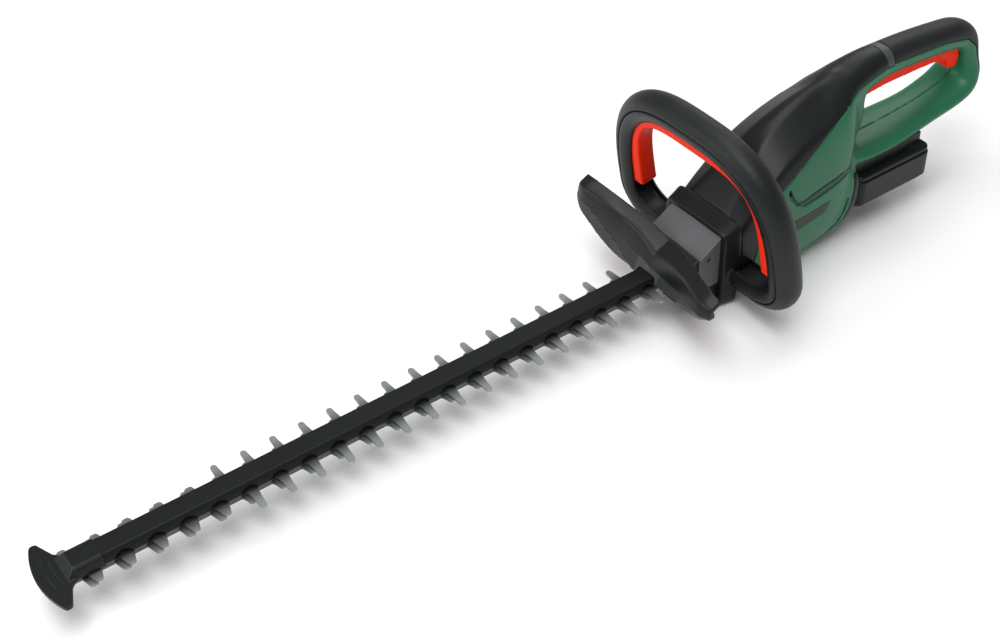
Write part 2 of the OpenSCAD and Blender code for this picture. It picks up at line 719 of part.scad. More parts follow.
module gear_case() {
    color([0.28, 0.29, 0.3]) difference() {
        gear_case_outline();
        translate([0, 0, case_split_z - 2]) cube([200, 200, 4], center = true);
        // gear room, pinion room and the room of the two yokes
        translate([0, 0, case_split_z])
            cylinder(h = case_roof_z - case_split_z, r = gear_r + tip_extra + 0.6, $fn = 96);
        translate([-yoke_room_x, -yoke_room_y, case_split_z])
            cube([2 * yoke_room_x, 2 * yoke_room_y, gear_z - case_split_z - 1]);
        translate([motor_x, 0, case_split_z + 6])
            cylinder(h = case_roof_z - case_split_z - 6, r = pinion_r + 3, $fn = 48);
        translate([motor_x, -5, gear_z - 1]) cube([12, 10, case_roof_z - gear_z + 1]);
        // crank bearing seat and the recess above its shaft
        cylinder(h = high_bearing_z + bearing_h, d = crank_bearing_d, $fn = 64);
        cylinder(h = high_bearing_z + bearing_h + 3, d = crank_d + 4, $fn = 48);
        // motor boss
        translate([motor_x, 0, case_roof_z - 1])
            cylinder(h = 10, d = motor_bearing_d + 4 + 2 * seat_gap, $fn = 48);
        // passage of rail, bar, blades and strip through the nose
        along(rail_x0 - 0.5, nose_x + 1) rail_outline(seat_gap);
        along(gear_r - 1, nose_x + 1) translate([-strip_half_w - 1.4, lower_z0 - slide_gap * 2])
            square([2 * strip_half_w + 2.8, rail_z0 - lower_z0 + slide_gap * 4]);
        along(rail_x0 - 0.5, nose_x + 1) translate([-guide_half_w - seat_gap, guide_z0])
            square([2 * (guide_half_w + seat_gap), guide_t + 1]);
        translate([clamp_x, 0, case_split_z - 1]) cylinder(h = 8, d = bolt_head_d + 1, $fn = 48);
        case_screw_places() translate([0, 0, case_split_z - 1]) cylinder(h = 12, d = case_screw_d, $fn = 24);
        // side screw holes
        for (s = [-1, 1])
            translate([26, s * case_half_w, 56]) rotate([90, 0, 0])
                cylinder(h = 8, d = 5, center = true, $fn = 32);
    }
}
module gear_case_cover() {
    color([0.2, 0.21, 0.21]) difference() {
        case_cover_outline();
        translate([0, 0, low_bearing_z - 0.1]) cylinder(h = 60, d = crank_bearing_d, $fn = 64);
        translate([0, 0, low_bearing_z - 1.5]) cylinder(h = 60, d = crank_d + 4, $fn = 48);
        translate([0, 0, low_eccentric_z - 2])
            cylinder(h = 20, r = crank_throw + eccentric_d / 2 + 1, $fn = 64);
        case_screw_places() {
            translate([0, 0, -1]) cylinder(h = 40, d = case_screw_d + 0.4, $fn = 24);
            translate([0, 0, -1]) cylinder(h = case_screw_seat_z + 1, d = case_screw_d * 2 + 0.6, $fn = 32);
        }
    }
}
case_screw_d = 4;
case_screw_seat_z = case_bottom_z + 10;
module case_screws() {
    color("gray") {
        case_screw_places() difference() {
            union() {
                translate([0, 0, case_screw_seat_z - 3.4]) cylinder(h = 3.4, d = case_screw_d * 2, $fn = 32);
                translate([0, 0, case_screw_seat_z])
                    cylinder(h = case_split_z + 9 - case_screw_seat_z, d = case_screw_d - 0.1, $fn = 24);
            }
            translate([0, 0, case_screw_seat_z - 3.5]) cylinder(h = 2.4, d = 3.6, $fn = 6);
        }
    }
}
module drive_grease_seal() {
    // felt that keeps the grease in where the blades leave the case
    color("tan") difference() {
        along(gear_r + 2.4, rail_x0 - 1) translate([-strip_half_w - 1.3, lower_z0 - 0.1])
            square([2 * strip_half_w + 2.6, upper_z1 - lower_z0 + 0.3]);
        along(0, 100) translate([-strip_half_w - run_gap, lower_z0 - 1])
            square([2 * (strip_half_w + run_gap), upper_z1 - lower_z0 + 2]);
    }
}

// ---------------------------------------------------------------- crank drive
function tooth_ring(n, r, up, down, thick) = [for (k = [0:n - 1]) for (q = [
    [r - down, 0.95], [r - down * 0.2, 0.62], [r + up, 0.3], [r + up, -0.3], [r - down * 0.2, -0.62],
        [r - down, -0.95]])
    let (a = 360 * k / n - q[1] * thick / r * 57.3)
    [q[0] * cos(a), q[0] * sin(a)]];
gear_tooth_half = gear_module * 0.95;
module eccentric(turn) {
    rotate([0, 0, turn]) translate([crank_throw, 0, 0]) cylinder(h = eccentric_t, d = eccentric_d, $fn = 64);
}
module crank_gear() {
    color("silver") {
        translate([0, 0, low_bearing_z - 0.6])
            cylinder(h = high_bearing_z + bearing_h + 1 - low_bearing_z, d = crank_d, $fn = 48);
        translate([0, 0, low_bearing_z + bearing_h + 0.3])
            cylinder(h = low_eccentric_z - low_bearing_z - bearing_h, d = crank_d + 4, $fn = 48);
        translate([0, 0, low_eccentric_z]) eccentric(-crank_turn);
        translate([0, 0, high_eccentric_z]) eccentric(crank_turn);
        difference() {
            translate([0, 0, gear_z]) linear_extrude(gear_face)
                polygon(tooth_ring(gear_teeth, gear_r, tip_extra, root_depth, gear_tooth_half));
            // lightening holes
            for (k = [0:5])
                rotate([0, 0, 60 * k]) translate([gear_r * 0.66, 0, gear_z + gear_face / 2 + 1])
                    cylinder(h = gear_face, d = gear_r * 0.27, $fn = 32);
        }
        translate([0, 0, gear_z + gear_face])
            cylinder(h = high_bearing_z - gear_z - gear_face - 0.3, d = crank_d + 4, $fn = 48);
    }
}
module crank_bearings() {
    color("lightsteelblue")
        for (z = [low_bearing_z, high_bearing_z])
            translate([0, 0, z]) difference() {
                cylinder(h = bearing_h, d = crank_bearing_d - 2 * seat_gap, $fn = 64);
                translate([0, 0, -1]) cylinder(h = bearing_h + 2, d = crank_d + 0.1, $fn = 48);
                for (q = [-0.1, bearing_h - 0.7])
                    translate([0, 0, q]) difference() {
                        cylinder(h = 0.8, d = crank_bearing_d - 5, $fn = 64);
                        cylinder(h = 0.8, d = crank_d + 5, $fn = 64);
                    }
            }
}

// ---------------------------------------------------------------------- motor
module at_motor(z) {
    translate([motor_x, 0, z]) children();
}
module motor_can() {
    color([0.35, 0.36, 0.38]) at_motor(0) difference() {
        union() {
            translate([0, 0, case_deck_z]) cylinder(h = can_z1 - case_deck_z, d = motor_d, $fn = 72);
            translate([0, 0, case_roof_z]) cylinder(h = 4, d = motor_bearing_d + 4, $fn = 48);
        }
        translate([0, 0, case_deck_z + 4]) cylinder(h = can_z1 - case_deck_z - 7, d = motor_d - 3, $fn = 72);
        translate([0, 0, case_roof_z - 1]) cylinder(h = motor_bearing_h + 1, d = motor_bearing_d, $fn = 48);
        translate([0, 0, case_roof_z - 1]) cylinder(h = 12, d = motor_shaft_d + 2, $fn = 32);
        translate([0, 0, can_z1 - motor_bearing_h])
            cylinder(h = motor_bearing_h + 1, d = motor_bearing_d, $fn = 48);
        translate([0, 0, can_z1 - 8]) cylinder(h = 20, d = motor_shaft_d + 2, $fn = 32);
        // air openings round the rear bell
        for (k = [0:7])
            rotate([0, 0, 45 * k + 22.5]) translate([motor_d / 2 - 6.2, 0, can_z1 - 4])
                cylinder(h = 8, d = 6, $fn = 24);
    }
}
module motor_stator() {
    color("peru") at_motor(rotor_z0) {
        difference() {
            cylinder(h = stator_h, d = motor_d - 3 - 2 * seat_gap, $fn = 72);
            translate([0, 0, -1]) cylinder(h = stator_h + 2, d = rotor_d + 2 * run_gap, $fn = 64);
            for (k = [0:5])
                rotate([0, 0, 60 * k + 30]) translate([motor_d / 2 - 7.2, 0, -1])
                    cylinder(h = stator_h + 2, d = 4.6, $fn = 24);
        }
    }
}
module motor_bearings() {
    color("lightsteelblue")
        for (z = [case_roof_z, can_z1 - motor_bearing_h])
            at_motor(z) difference() {
                cylinder(h = motor_bearing_h, d = motor_bearing_d - 2 * seat_gap, $fn = 48);
                translate([0, 0, -1]) cylinder(h = motor_bearing_h + 2, d = motor_shaft_d + 0.1, $fn = 32);
            }
}
module motor_rotor() {
    color("dimgray") at_motor(0) {
        translate([0, 0, gear_z - 1]) cylinder(h = fan_z + fan_h + 2 - gear_z, d = motor_shaft_d, $fn = 32);
        translate([0, 0, rotor_z0]) cylinder(h = stator_h, d = rotor_d, $fn = 64);
    }
}
module motor_pinion() {
    color("silver") at_motor(gear_z - 0.4) difference() {
        rotate([0, 0, 180 / pinion_teeth]) linear_extrude(gear_face + 0.6)
            polygon(tooth_ring(pinion_teeth, pinion_r, tip_extra, root_depth, gear_tooth_half));
        translate([0, 0, -1]) cylinder(h = gear_face + 3, d = motor_shaft_d, $fn = 32);
    }
}
module cooling_fan() {
    color("white") at_motor(fan_z) difference() {
        union() {
            cylinder(h = 1.6, d = fan_d, $fn = 64);
            cylinder(h = fan_h, d = motor_shaft_d + 5, $fn = 32);
            for (k = [0:10])
                rotate([0, 0, 360 / 11 * k]) translate([6, 3, 0]) rotate([0, 0, 12])
                    cube([fan_d / 2 - 7.5, 1.2, fan_h]);
        }
        translate([0, 0, -1]) cylinder(h = fan_h + 2, d = motor_shaft_d, $fn = 32);
    }
}

// ----------------------------------------------------- electronics and trigger
module controller() {
    color("darkgreen") {
        translate([board_x0, -26, 52]) cube([board_l, 52, 1.6]);
    }
    color("silver") translate([-124, -22, 53.6]) cube([34, 44, 9]);
    color("black") {
        translate([-86, -20, 53.6]) cube([8, 12, 10]);
        for (s = [-1, 0, 1])
            translate([-82, 14 + 4 * s, 53.6]) cylinder(h = 12, d = 3.6, $fn = 24);
    }
}
trigger_half_w = 8;
trigger_x0 = -298;
trigger_x1 = -166;
trigger_pivot = [-176, 143];
trigger_top_z = 147;
module trigger_outline() {
    polygon([[-172, 146], [-168, 138], [-175, 131.5], [-200, 133.5], [-240, 133], [-272, 131.5],
        [-282, 127], [-285.5, 117.5], [-296.5, 116.5], [-298.5, 126], [-296, 143], [-262, 144],
        [-230, 146.5], [-222, 147], [-208, 147], [-196, 147.5]]);
}
module rear_trigger() {
    color("orangered") difference() {
        across(trigger_half_w) trigger_outline();
        translate([spring_x, 0, trigger_top_z]) cylinder(h = 4, d = 8, $fn = 24);
        translate([trigger_pivot[0], 0, trigger_pivot[1]]) rotate([90, 0, 0])
            cylinder(h = 40, d = trigger_pin_d + 0.1, center = true, $fn = 32);
    }
}
trigger_pin_d = 3;
module trigger_pin() {
    color("silver") translate([trigger_pivot[0], 0, trigger_pivot[1]]) rotate([90, 0, 0])
        cylinder(h = 2 * trigger_half_w + 7, d = trigger_pin_d, center = true, $fn = 32);
}
spring_x = -215;
spring_l = 8;
module trigger_spring() {
    color("silver") translate([spring_x, 0, trigger_top_z + 0.1]) coil(spring_l, 6, 0.9, 4);
}
switch_x = -250;
switch_z = 152.5;
module rear_switch() {
    color("dimgray") {
        translate([switch_x, -5, switch_z]) cube([22, 10, 10.5]);
        translate([switch_x + 4, -1.5, switch_z - 2]) cube([3, 3, 2.4]);
    }
}

// -------------------------------------------------------------------- battery
module pack_block(x0, x1, hw, z0, z1, r) {
    // block with rounded upright edges
    translate([0, 0, z0]) linear_extrude(z1 - z0)
        polygon(concat(
            arc(x1 - r, hw - r, r, 0, 90, 6), arc(x0 + r, hw - r, r, 90, 180, 6),
            arc(x0 + r, -hw + r, r, 180, 270, 6), arc(x1 - r, -hw + r, r, 270, 360, 6)));
}
module pack_lower_shell() {
    color([0.12, 0.13, 0.13]) difference() {
        union() {
            pack_block(pack_x0, pack_x1, pack_half_w, pack_z0 + 4, pack_z1, 8);
            pack_block(pack_x0 + 3, pack_x1 - 3, pack_half_w - 3, pack_z0, pack_z0 + 4, 6);
        }
        pack_block(pack_x0 + 3, pack_x1 - 3, pack_half_w - 3, pack_z0 + 5, pack_z1 + 1, 5);
    }
}
module pack_upper_shell() {
    color([0.1, 0.11, 0.11]) difference() {
        union() {
            pack_block(pack_x0, pack_x1, pack_half_w - 1.5, pack_z1 + seat_gap, pack_z1 + 5, 8);
            pack_block(pack_x0 + 14, pack_x1 - 6, dock_rail_half_w, pack_z1 + 4, pack_top_z, 3);
        }
        difference() {
            pack_block(pack_x0 + 3, pack_x1 - 3, pack_half_w - 4.5, pack_z1 - 1, pack_z1 + 3, 6);
            translate([pack_x0 + 2, -button_well_w, pack_z1 - 2]) cube([21, 2 * button_well_w, 8]);
        }
        // rail grooves along both sides and the contact slots
        for (s = [-1, 1])
            translate([pack_x0 + 24, s * dock_rail_half_w - 3, pack_z1 + 5]) cube([pack_l, 6, 2.6]);
        for (y = contact_ys)
            translate([pack_x1 - 24, y - move_gap, pack_z1 + 6]) cube([30, 0.8 + 2 * move_gap, 10]);
        translate([pack_x0 - 1, -button_well_w + 2, pack_z1 + 1.6]) cube([21, 2 * button_well_w - 4, 12]);
    }
}
cell_pitch = (pack_l - 8) / 5;
cell_d = cell_pitch - 0.2;
module pack_cells() {
    color("steelblue")
        for (k = [0:4])
            translate([(pack_x0 + pack_x1) / 2 + cell_pitch * (k - 2), 0, pack_z0 + 5.1 + cell_d / 2])
                rotate([90, 0, 0]) cylinder(h = 2 * pack_half_w - 14, d = cell_d, center = true, $fn = 40);
}
button_x0 = pack_x0 - 1.5;
button_well_w = 16;
button_z0 = pack_z1 + 5;
module release_button() {
    color("crimson") {
        translate([button_x0, -13, button_z0]) cube([14, 26, 5.2]);
        translate([button_x0 + 12, -8, button_z0]) cube([6, 16, pack_top_z + 1.6 - button_z0]);
    }
}
module button_spring() {
    color("silver") translate([pack_x0 + 8, 0, pack_z1 + 1.7]) coil(button_z0 - pack_z1 - 1.8, 6, 0.7, 3);
}
dock_z1 = 77;
dock_x0 = pack_x0 + 8;
dock_half_w = dock_rail_half_w + 3;
rail_drop = pack_z1 + 5.3;
notch_half_w = 13.5;
module dock_space(grow, lift = 0) {
    translate([dock_x0 - grow, -dock_half_w - grow, pack_top_z + lift]) cube([
        pack_x1 + 4 - dock_x0 + 2 * grow, 2 * (dock_half_w + grow), dock_z1 - pack_top_z - lift + grow]);
}
module battery_dock() {
    color([0.15, 0.16, 0.16]) difference() {
        union() {
            dock_space(0, 0.4);
            for (s = [-1, 1]) {
                translate([dock_x0 + 16, s * (dock_rail_half_w + 1.8) - 1.2, rail_drop])
                    cube([pack_x1 + 4 - dock_x0 - 16, 2.4, pack_top_z + 1 - rail_drop]);
                translate([dock_x0 + 16, s * (dock_rail_half_w + 0.2) - 2.6, rail_drop])
                    cube([pack_x1 - 1 - dock_x0 - 16, 5.2, 1.8]);
            }
            translate([pack_x1 + 0.7, -dock_half_w, pack_z1 - 22]) cube([3, 2 * dock_half_w, 30]);
        }
        translate([dock_x0 - 1, -notch_half_w, pack_top_z - 1])
            cube([10.5, 2 * notch_half_w, dock_z1 - pack_top_z + 2]);
        for (y = contact_ys)
            translate([pack_x1 - 5, y - seat_gap, pack_z1 + 7.4 - seat_gap])
                cube([12, 0.8 + 2 * seat_gap, 3 + 2 * seat_gap]);
    }
}
contact_ys = [-12.6, -3.6, 5.4, 12.4];
module dock_contacts() {
    color("gold")
        for (y = contact_ys)
            translate([pack_x1 - 18, y, pack_z1 + 7.4]) cube([24, 0.8, 3]);
}

// --------------------------------------------------------------------- blades
bolt_head_d = 9;
bolt_head_h = 3.4;
guide_half_w = 8.5;
slot_half = crank_throw + 0.4;
saw_root_w = 12;
saw_tip_w = 6.4;
saw_chamfer = 1.3;
tooth_sides = [0, 0.12, 0.28, 0.5, 0.75, 1];
function tooth_half(t) = tooth_tip_w / 2 + (tooth_root_w - tooth_tip_w) / 2 * pow(1 - t, 1.6);
function long_tooth(x, reach) = let (y0 = strip_half_w, y1 = reach - tooth_tip_w / 2) concat(
    [[x - tooth_root_w / 2 - 1.5, y0]],
    [for (t = tooth_sides) [x - tooth_half(t), y0 + 1.2 + (y1 - y0 - 1.2) * t]],
    [for (a = [150:-30:30]) [x + tooth_tip_w / 2 * cos(a), y1 + tooth_tip_w / 2 * sin(a)]],
    [for (k = [5:-1:0]) [x + tooth_half(tooth_sides[k]), y0 + 1.2 + (y1 - y0 - 1.2) * tooth_sides[k]]],
    [[x + tooth_root_w / 2 + 1.5, y0]]);
function saw_tooth(x) = [
    [x - saw_root_w / 2, strip_half_w], [x - saw_tip_w / 2, saw_reach - saw_chamfer],
    [x - saw_tip_w / 2 + saw_chamfer, saw_reach], [x + saw_tip_w / 2 - saw_chamfer, saw_reach],
    [x + saw_tip_w / 2, saw_reach - saw_chamfer], [x + saw_root_w / 2, strip_half_w]];
function toothed_side(shift, start, reach) = [for (k = [0:tooth_count - 1])
    for (q = k < tooth_count - saw_count
        ? long_tooth(start + tooth_pitch * k + shift,
            reach) : saw_tooth(start + tooth_pitch * k + shift)) q];
function turned_over(pts) = [for (k = [len(pts) - 1:-1:0]) [pts[k][0], -pts[k][1]]];

// One blade seen from above; shift is how far its teeth stand ahead of the upper blade's
module blade_outline(shift, reach) {
    polygon(concat(
        [[12, strip_half_w]],
        toothed_side(shift, first_tooth_x, reach),
        [[strip_end_x + shift - 3, strip_half_w], [strip_end_x + shift, strip_half_w - 3],
            [strip_end_x + shift, 3 - strip_half_w], [strip_end_x + shift - 3, -strip_half_w]],
        turned_over(toothed_side(shift, first_tooth_x + tooth_pitch / 2, reach)),
        [[12, -strip_half_w]]));
}
module blade(shift, reach, z) {
    mid = shift - rest_shift;
    yoke_x = eccentric_d / 2 + 2 * seat_gap;
    yoke_y = eccentric_d / 2 + crank_throw + 0.2;
    translate([0, 0, z]) difference() {
        union() {
            linear_extrude(blade_t) blade_outline(shift, reach);
            linear_extrude(blade_t) translate([mid, 0])
                yoke_outline(yoke_x + yoke_wall, yoke_y + yoke_wall - 1);
        }
        translate([mid, 0, -1]) linear_extrude(blade_t + 2) yoke_outline(yoke_x, yoke_y);
        for (x = bolt_xs)
            translate([x + mid, 0, -1]) {
                translate([-slot_half, -bush_d / 2 - slide_gap, 0])
                    cube([2 * slot_half, bush_d + 2 * slide_gap, blade_t + 2]);
                for (s = [-1, 1])
                    translate([s * slot_half, 0, 0])
                        cylinder(h = blade_t + 2, d = bush_d + 2 * slide_gap, $fn = 32);
            }
    }
}
module yoke_outline(hx, hy) {
    r = 5;
    polygon(concat(
        arc(hx - r, hy - r, r, 0, 90, 5), arc(-hx + r, hy - r, r, 90, 180, 5),
        arc(-hx + r, -hy + r, r, 180, 270, 5), arc(hx - r, -hy + r, r, 270, 360, 5)));
}
module upper_blade() {
    color("silver") blade(0, tooth_reach, upper_z0);
}
module lower_blade() {
    color("gray") blade(2 * rest_shift, counter_reach, lower_z0);
}

// ------------------------------------------------------------ bar, rail, bolts
module rail_outline(grow = 0) {
    polygon([
        [-rail_half_w - grow, rail_z0 - grow], [-rail_half_w - grow, rail_z0 + 1.2],
        [-rail_half_w + 0.8 - grow, rail_z0 + rail_h * 0.5],
        [-rail_top_half_w - 1 - grow, rail_z1 - 1.2 + grow * 0.5], [-rail_top_half_w, rail_z1 + grow],
        [rail_top_half_w, rail_z1 + grow], [rail_top_half_w + 1 + grow, rail_z1 - 1.2 + grow * 0.5],
        [rail_half_w - 0.8 + grow, rail_z0 + rail_h * 0.5],
        [rail_half_w + grow, rail_z0 + 1.2], [rail_half_w + grow, rail_z0 - grow]]);
}
notch_r = 7;
module rail_notches() {
    for (k = [0:tooth_count - 1])
        for (s = [0, 1])
            translate([first_tooth_x + tooth_pitch * (k + s / 2) + rest_shift,
                s == 0 ? rail_top_half_w : -rail_top_half_w - 8, rail_z0 - 2])
                rotate([-90, 0, 0]) cylinder(h = 8, r = notch_r, $fn = 32);
}
module blade_rail() {
    color([0.1, 0.11, 0.11]) difference() {
        along(rail_x0, rail_x1) rail_outline();
        along(rail_x0 - 1, rail_x1 + 1) translate([-bar_half_w - seat_gap, rail_z0 - 1])
            square([2 * (bar_half_w + seat_gap), bar_h + 1 + seat_gap]);
        rail_notches();
    }
}
module support_bar() {
    color("gray") difference() {
        along(rail_x0, rail_x1) translate([-bar_half_w, rail_z0]) square([2 * bar_half_w, bar_h]);
        for (x = bolt_xs)
            translate([x, 0, rail_z0 - 1]) cylinder(h = bar_h + 2, d = guide_bolt_d, $fn = 32);
    }
}
module guide_strip() {
    color("gray") difference() {
        along(rail_x0, rail_x1 + 4) translate([-guide_half_w, guide_z0]) square([2 * guide_half_w, guide_t]);
        for (x = bolt_xs)
            translate([x, 0, guide_z0 - 1]) cylinder(h = guide_t + 2, d = guide_bolt_d + 0.1, $fn = 32);
    }
}
module blade_bolts() {
    color("dimgray")
        for (x = bolt_xs)
            translate([x, 0, 0]) difference() {
                union() {
                    translate([0, 0, guide_z0 - bolt_head_h])
                        cylinder(h = bolt_head_h, d = bolt_head_d, $fn = 32);
                    translate([0, 0, guide_z0])
                        cylinder(h = rail_z0 + bar_h - guide_z0, d = guide_bolt_d - 0.1, $fn = 32);
                }
                translate([0, 0, guide_z0 - bolt_head_h - 0.1]) cylinder(h = 2.2, d = 4.4, $fn = 6);
            }
}
module blade_bushes() {
    color("goldenrod")
        for (x = bolt_xs)
            translate([x, 0, guide_z1]) difference() {
                cylinder(h = rail_z0 - guide_z1, d = bush_d, $fn = 32);
                translate([0, 0, -1]) cylinder(h = 12, d = guide_bolt_d + 0.1, $fn = 32);
            }
}

// ------------------------------------------------------------------ tip guard
sleeve_x0 = rail_x1 - 20;
sleeve_wall = 1.6;
fan_root_x = rail_x1 + 2;
fan_tip_x = fan_root_x + 26;
fan_sag = 8;
fan_corner_r = 4;
fan_r = (pow(fan_half_w, 2) + pow(fan_sag, 2)) / (2 * fan_sag);
fan_edge_turn = asin((fan_half_w - fan_corner_r) / (fan_r - fan_corner_r));
fan_corner_x = fan_tip_x - fan_r + (fan_r - fan_corner_r) * cos(fan_edge_turn);
fan_root_half_w = 13.6;
module fan_outline() {
    side = concat(
        [[fan_root_x - 4, fan_root_half_w - 1], [fan_root_x + 1, fan_root_half_w],
            [fan_root_x + 6, fan_root_half_w + 4.5]],
        arc(fan_corner_x, fan_half_w - fan_corner_r, fan_corner_r, 140, fan_edge_turn, 5));
    front = arc(fan_tip_x - fan_r, 0, fan_r, fan_edge_turn * 0.86, -fan_edge_turn * 0.86, 14);
    polygon(concat(side, front, turned_over(side)));
}
module tip_guard() {
    color([0.25, 0.27, 0.27]) difference() {
        union() {
            translate([0, 0, rail_z0]) linear_extrude(fan_t) fan_outline();
            hull() {
                along(sleeve_x0, sleeve_x0 + 0.1) rail_outline(sleeve_wall);
                along(rail_x1 + 2, rail_x1 + 2.1) rail_outline(sleeve_wall);
                translate([fan_root_x + 7, 0, rail_z0 + 1]) cube([0.1, 26, 5], center = true);
            }
        }
        along(sleeve_x0 - 1, rail_x1 + seat_gap) rail_outline(seat_gap);
        translate([sleeve_x0 - 5, -60, rail_z0 - 10]) cube([100, 120, 10.05]);
        // the two curved grooves on the fan
        for (q = [[7, 15], [13, 11.5]])
            translate([fan_tip_x - fan_r, 0, rail_z0 + fan_t - 0.7]) difference() {
                intersection() {
                    cylinder(h = 4, r = fan_r - q[0], $fn = 96);
                    translate([fan_r - 40, -q[1], 0]) cube([60, 2 * q[1], 4]);
                }
                translate([0, 0, -1]) cylinder(h = 6, r = fan_r - q[0] - 1.2, $fn = 96);
            }
    }
}

// ------------------------------------------------------- fasteners and inserts
module housing_screws() {
    color("gray")
        for (p = screw_places)
            translate([p[0], 0, p[1]]) rotate([-90, 0, 0]) difference() {
                union() {
                    translate([0, 0, -6]) cylinder(h = 14, d = screw_d, $fn = 24);
                    translate([0, 0, -8.6]) cylinder(h = 2.6, d = 2 * screw_d, $fn = 32);
                }
                translate([0, 0, -8.7]) cylinder(h = 1.8, d = 4, $fn = 6);
            }
}
module side_inserts() {
    color([0.08, 0.09, 0.09]) both_sides() intersection() {
        insert_zone(0.95, 0);
        chain(body);
    }
}

housing_left();
housing_right();
top_cover();
sole_cover();
rear_grip();
grip_ring();
loop_frame();
loop_grip();
switch_bow();
bow_springs();
front_switch();
hand_guard();
gear_case();
gear_case_cover();
crank_gear();
crank_bearings();
drive_grease_seal();
motor_can();
motor_stator();
motor_bearings();
motor_rotor();
motor_pinion();
cooling_fan();
controller();
rear_trigger();
trigger_pin();
trigger_spring();
rear_switch();
battery_dock();
dock_contacts();
pack_lower_shell();
pack_upper_shell();
pack_cells();
release_button();
button_spring();
support_bar();
blade_rail();
guide_strip();
blade_bolts();
blade_bushes();
upper_blade();
lower_blade();
tip_guard();
housing_screws();
case_screws();
side_inserts();
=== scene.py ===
import json
import math

import bpy
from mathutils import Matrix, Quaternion, Vector


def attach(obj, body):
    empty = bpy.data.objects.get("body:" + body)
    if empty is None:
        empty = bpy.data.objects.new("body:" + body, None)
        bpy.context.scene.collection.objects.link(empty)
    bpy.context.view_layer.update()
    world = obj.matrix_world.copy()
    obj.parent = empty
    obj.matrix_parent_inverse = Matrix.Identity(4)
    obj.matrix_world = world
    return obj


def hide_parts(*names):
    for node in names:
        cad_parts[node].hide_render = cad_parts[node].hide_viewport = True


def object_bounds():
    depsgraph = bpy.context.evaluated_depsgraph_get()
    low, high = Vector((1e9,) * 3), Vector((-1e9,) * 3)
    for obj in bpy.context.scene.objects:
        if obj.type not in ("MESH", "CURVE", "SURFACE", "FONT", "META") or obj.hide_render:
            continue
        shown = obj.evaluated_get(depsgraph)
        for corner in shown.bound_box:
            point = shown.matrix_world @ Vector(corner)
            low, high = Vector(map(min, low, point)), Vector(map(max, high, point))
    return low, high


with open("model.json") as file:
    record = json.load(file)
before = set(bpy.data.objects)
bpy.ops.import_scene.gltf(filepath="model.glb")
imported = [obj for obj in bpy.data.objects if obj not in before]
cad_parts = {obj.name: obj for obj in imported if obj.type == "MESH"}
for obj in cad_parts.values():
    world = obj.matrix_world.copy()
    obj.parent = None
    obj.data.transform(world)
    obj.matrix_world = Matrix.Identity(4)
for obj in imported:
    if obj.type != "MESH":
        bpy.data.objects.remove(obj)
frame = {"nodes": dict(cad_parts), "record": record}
cad_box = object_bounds()


# ------------------------------------------------------------------ workshop
ROD_SIDES = 32
SMOOTH_PULL = 0.5
SAME_PLACE = 0.000005  # metres


def mm(*values):
    """Millimetres into metres."""
    return Vector([v / 1000 for v in values])


def alone(*pieces):
    """Only these pieces are selected, and the first is the active one."""
    bpy.ops.object.select_all(action="DESELECT")
    for p in pieces:
        p.select_set(True)
    bpy.context.view_layer.objects.active = pieces[0]


class Bench:
    """Edit mode on one piece, with all of it selected."""

    def __init__(self, piece):
        self.piece = piece

    def __enter__(self):
        alone(self.piece)
        bpy.ops.object.mode_set(mode="EDIT")
        bpy.ops.mesh.select_all(action="SELECT")

    def __exit__(self, *trouble):
        bpy.ops.object.mode_set(mode="OBJECT")


def finish_modifier(piece, kind, **settings):
    """A modifier is put on the piece and applied at once."""
    m = piece.modifiers.new(kind.lower(), kind)
    for key, value in settings.items():
        setattr(m, key, value)
    alone(piece)
    bpy.ops.object.modifier_apply(modifier=m.name)
    return piece


def facing_out(piece):
    """All faces turned to look outwards."""
    with Bench(piece):
        bpy.ops.mesh.normals_make_consistent(inside=False)
    return piece


def bar(name, rings):
    """A disc is drawn up into a straight bar, one extrusion a ring, and each ring is then set on
    its station. All rings have the same number of points."""
    n = len(rings[0])
    bpy.ops.object.select_all(action="DESELECT")
    bpy.ops.mesh.primitive_circle_add(vertices=n, radius=1, fill_type="NGON")
    piece = bpy.context.object
    piece.name = name
    with Bench(piece):
        for _ in rings[1:]:
            bpy.ops.mesh.extrude_region_move(TRANSFORM_OT_translate={"value": (0, 0, 1)})
    first = min(piece.data.vertices, key=lambda v: v.index).co
    start = math.atan2(first.y, first.x)
    for v in piece.data.vertices:
        turn = math.atan2(v.co.y, v.co.x) - start
        v.co = mm(*rings[round(v.co.z)][round(turn / (2 * math.pi) * n) % n])
    return facing_out(piece)


def slab(name, outline, low, high, axis="y"):
    """A plate cut to an outline: (x, z) places for a plate across y, (y, z) places across x."""
    place = {
        "y": lambda p, w: (p[0], w, p[1]),
        "x": lambda p, w: (w, p[0], p[1]),
    }[axis]
    return bar(name, [[place(p, low) for p in outline], [place(p, high) for p in outline]])


def block(name, low, high):
    """A rectangular block between two corners."""
    bpy.ops.object.select_all(action="DESELECT")
    bpy.ops.mesh.primitive_cube_add(size=1)
    piece = bpy.context.object
    piece.name = name
    for v in piece.data.vertices:
        v.co = mm(*[l if c < 0 else h for c, l, h in zip(v.co, low, high)])
    return piece


def rod(name, x, z, d, low, high):
    """A round bar that lies across y, from low to high."""
    bpy.ops.object.select_all(action="DESELECT")
    bpy.ops.mesh.primitive_cone_add(
        vertices=ROD_SIDES, radius1=d / 2, radius2=d / 2, depth=high - low)
    piece = bpy.context.object
    piece.name = name
    for v in piece.data.vertices:
        v.co = mm(v.co.x + x, v.co.z + (high - low) / 2 + low, -v.co.y + z)
    return facing_out(piece)


def carve(piece, tool, how="DIFFERENCE", keep=False):
    """Cuts, joins or keeps what is common with a tool piece, which is then put away."""
    finish_modifier(piece, "BOOLEAN", operation=how, solver="MANIFOLD", object=tool)
    if not keep:
        bpy.data.objects.remove(tool)
    return piece


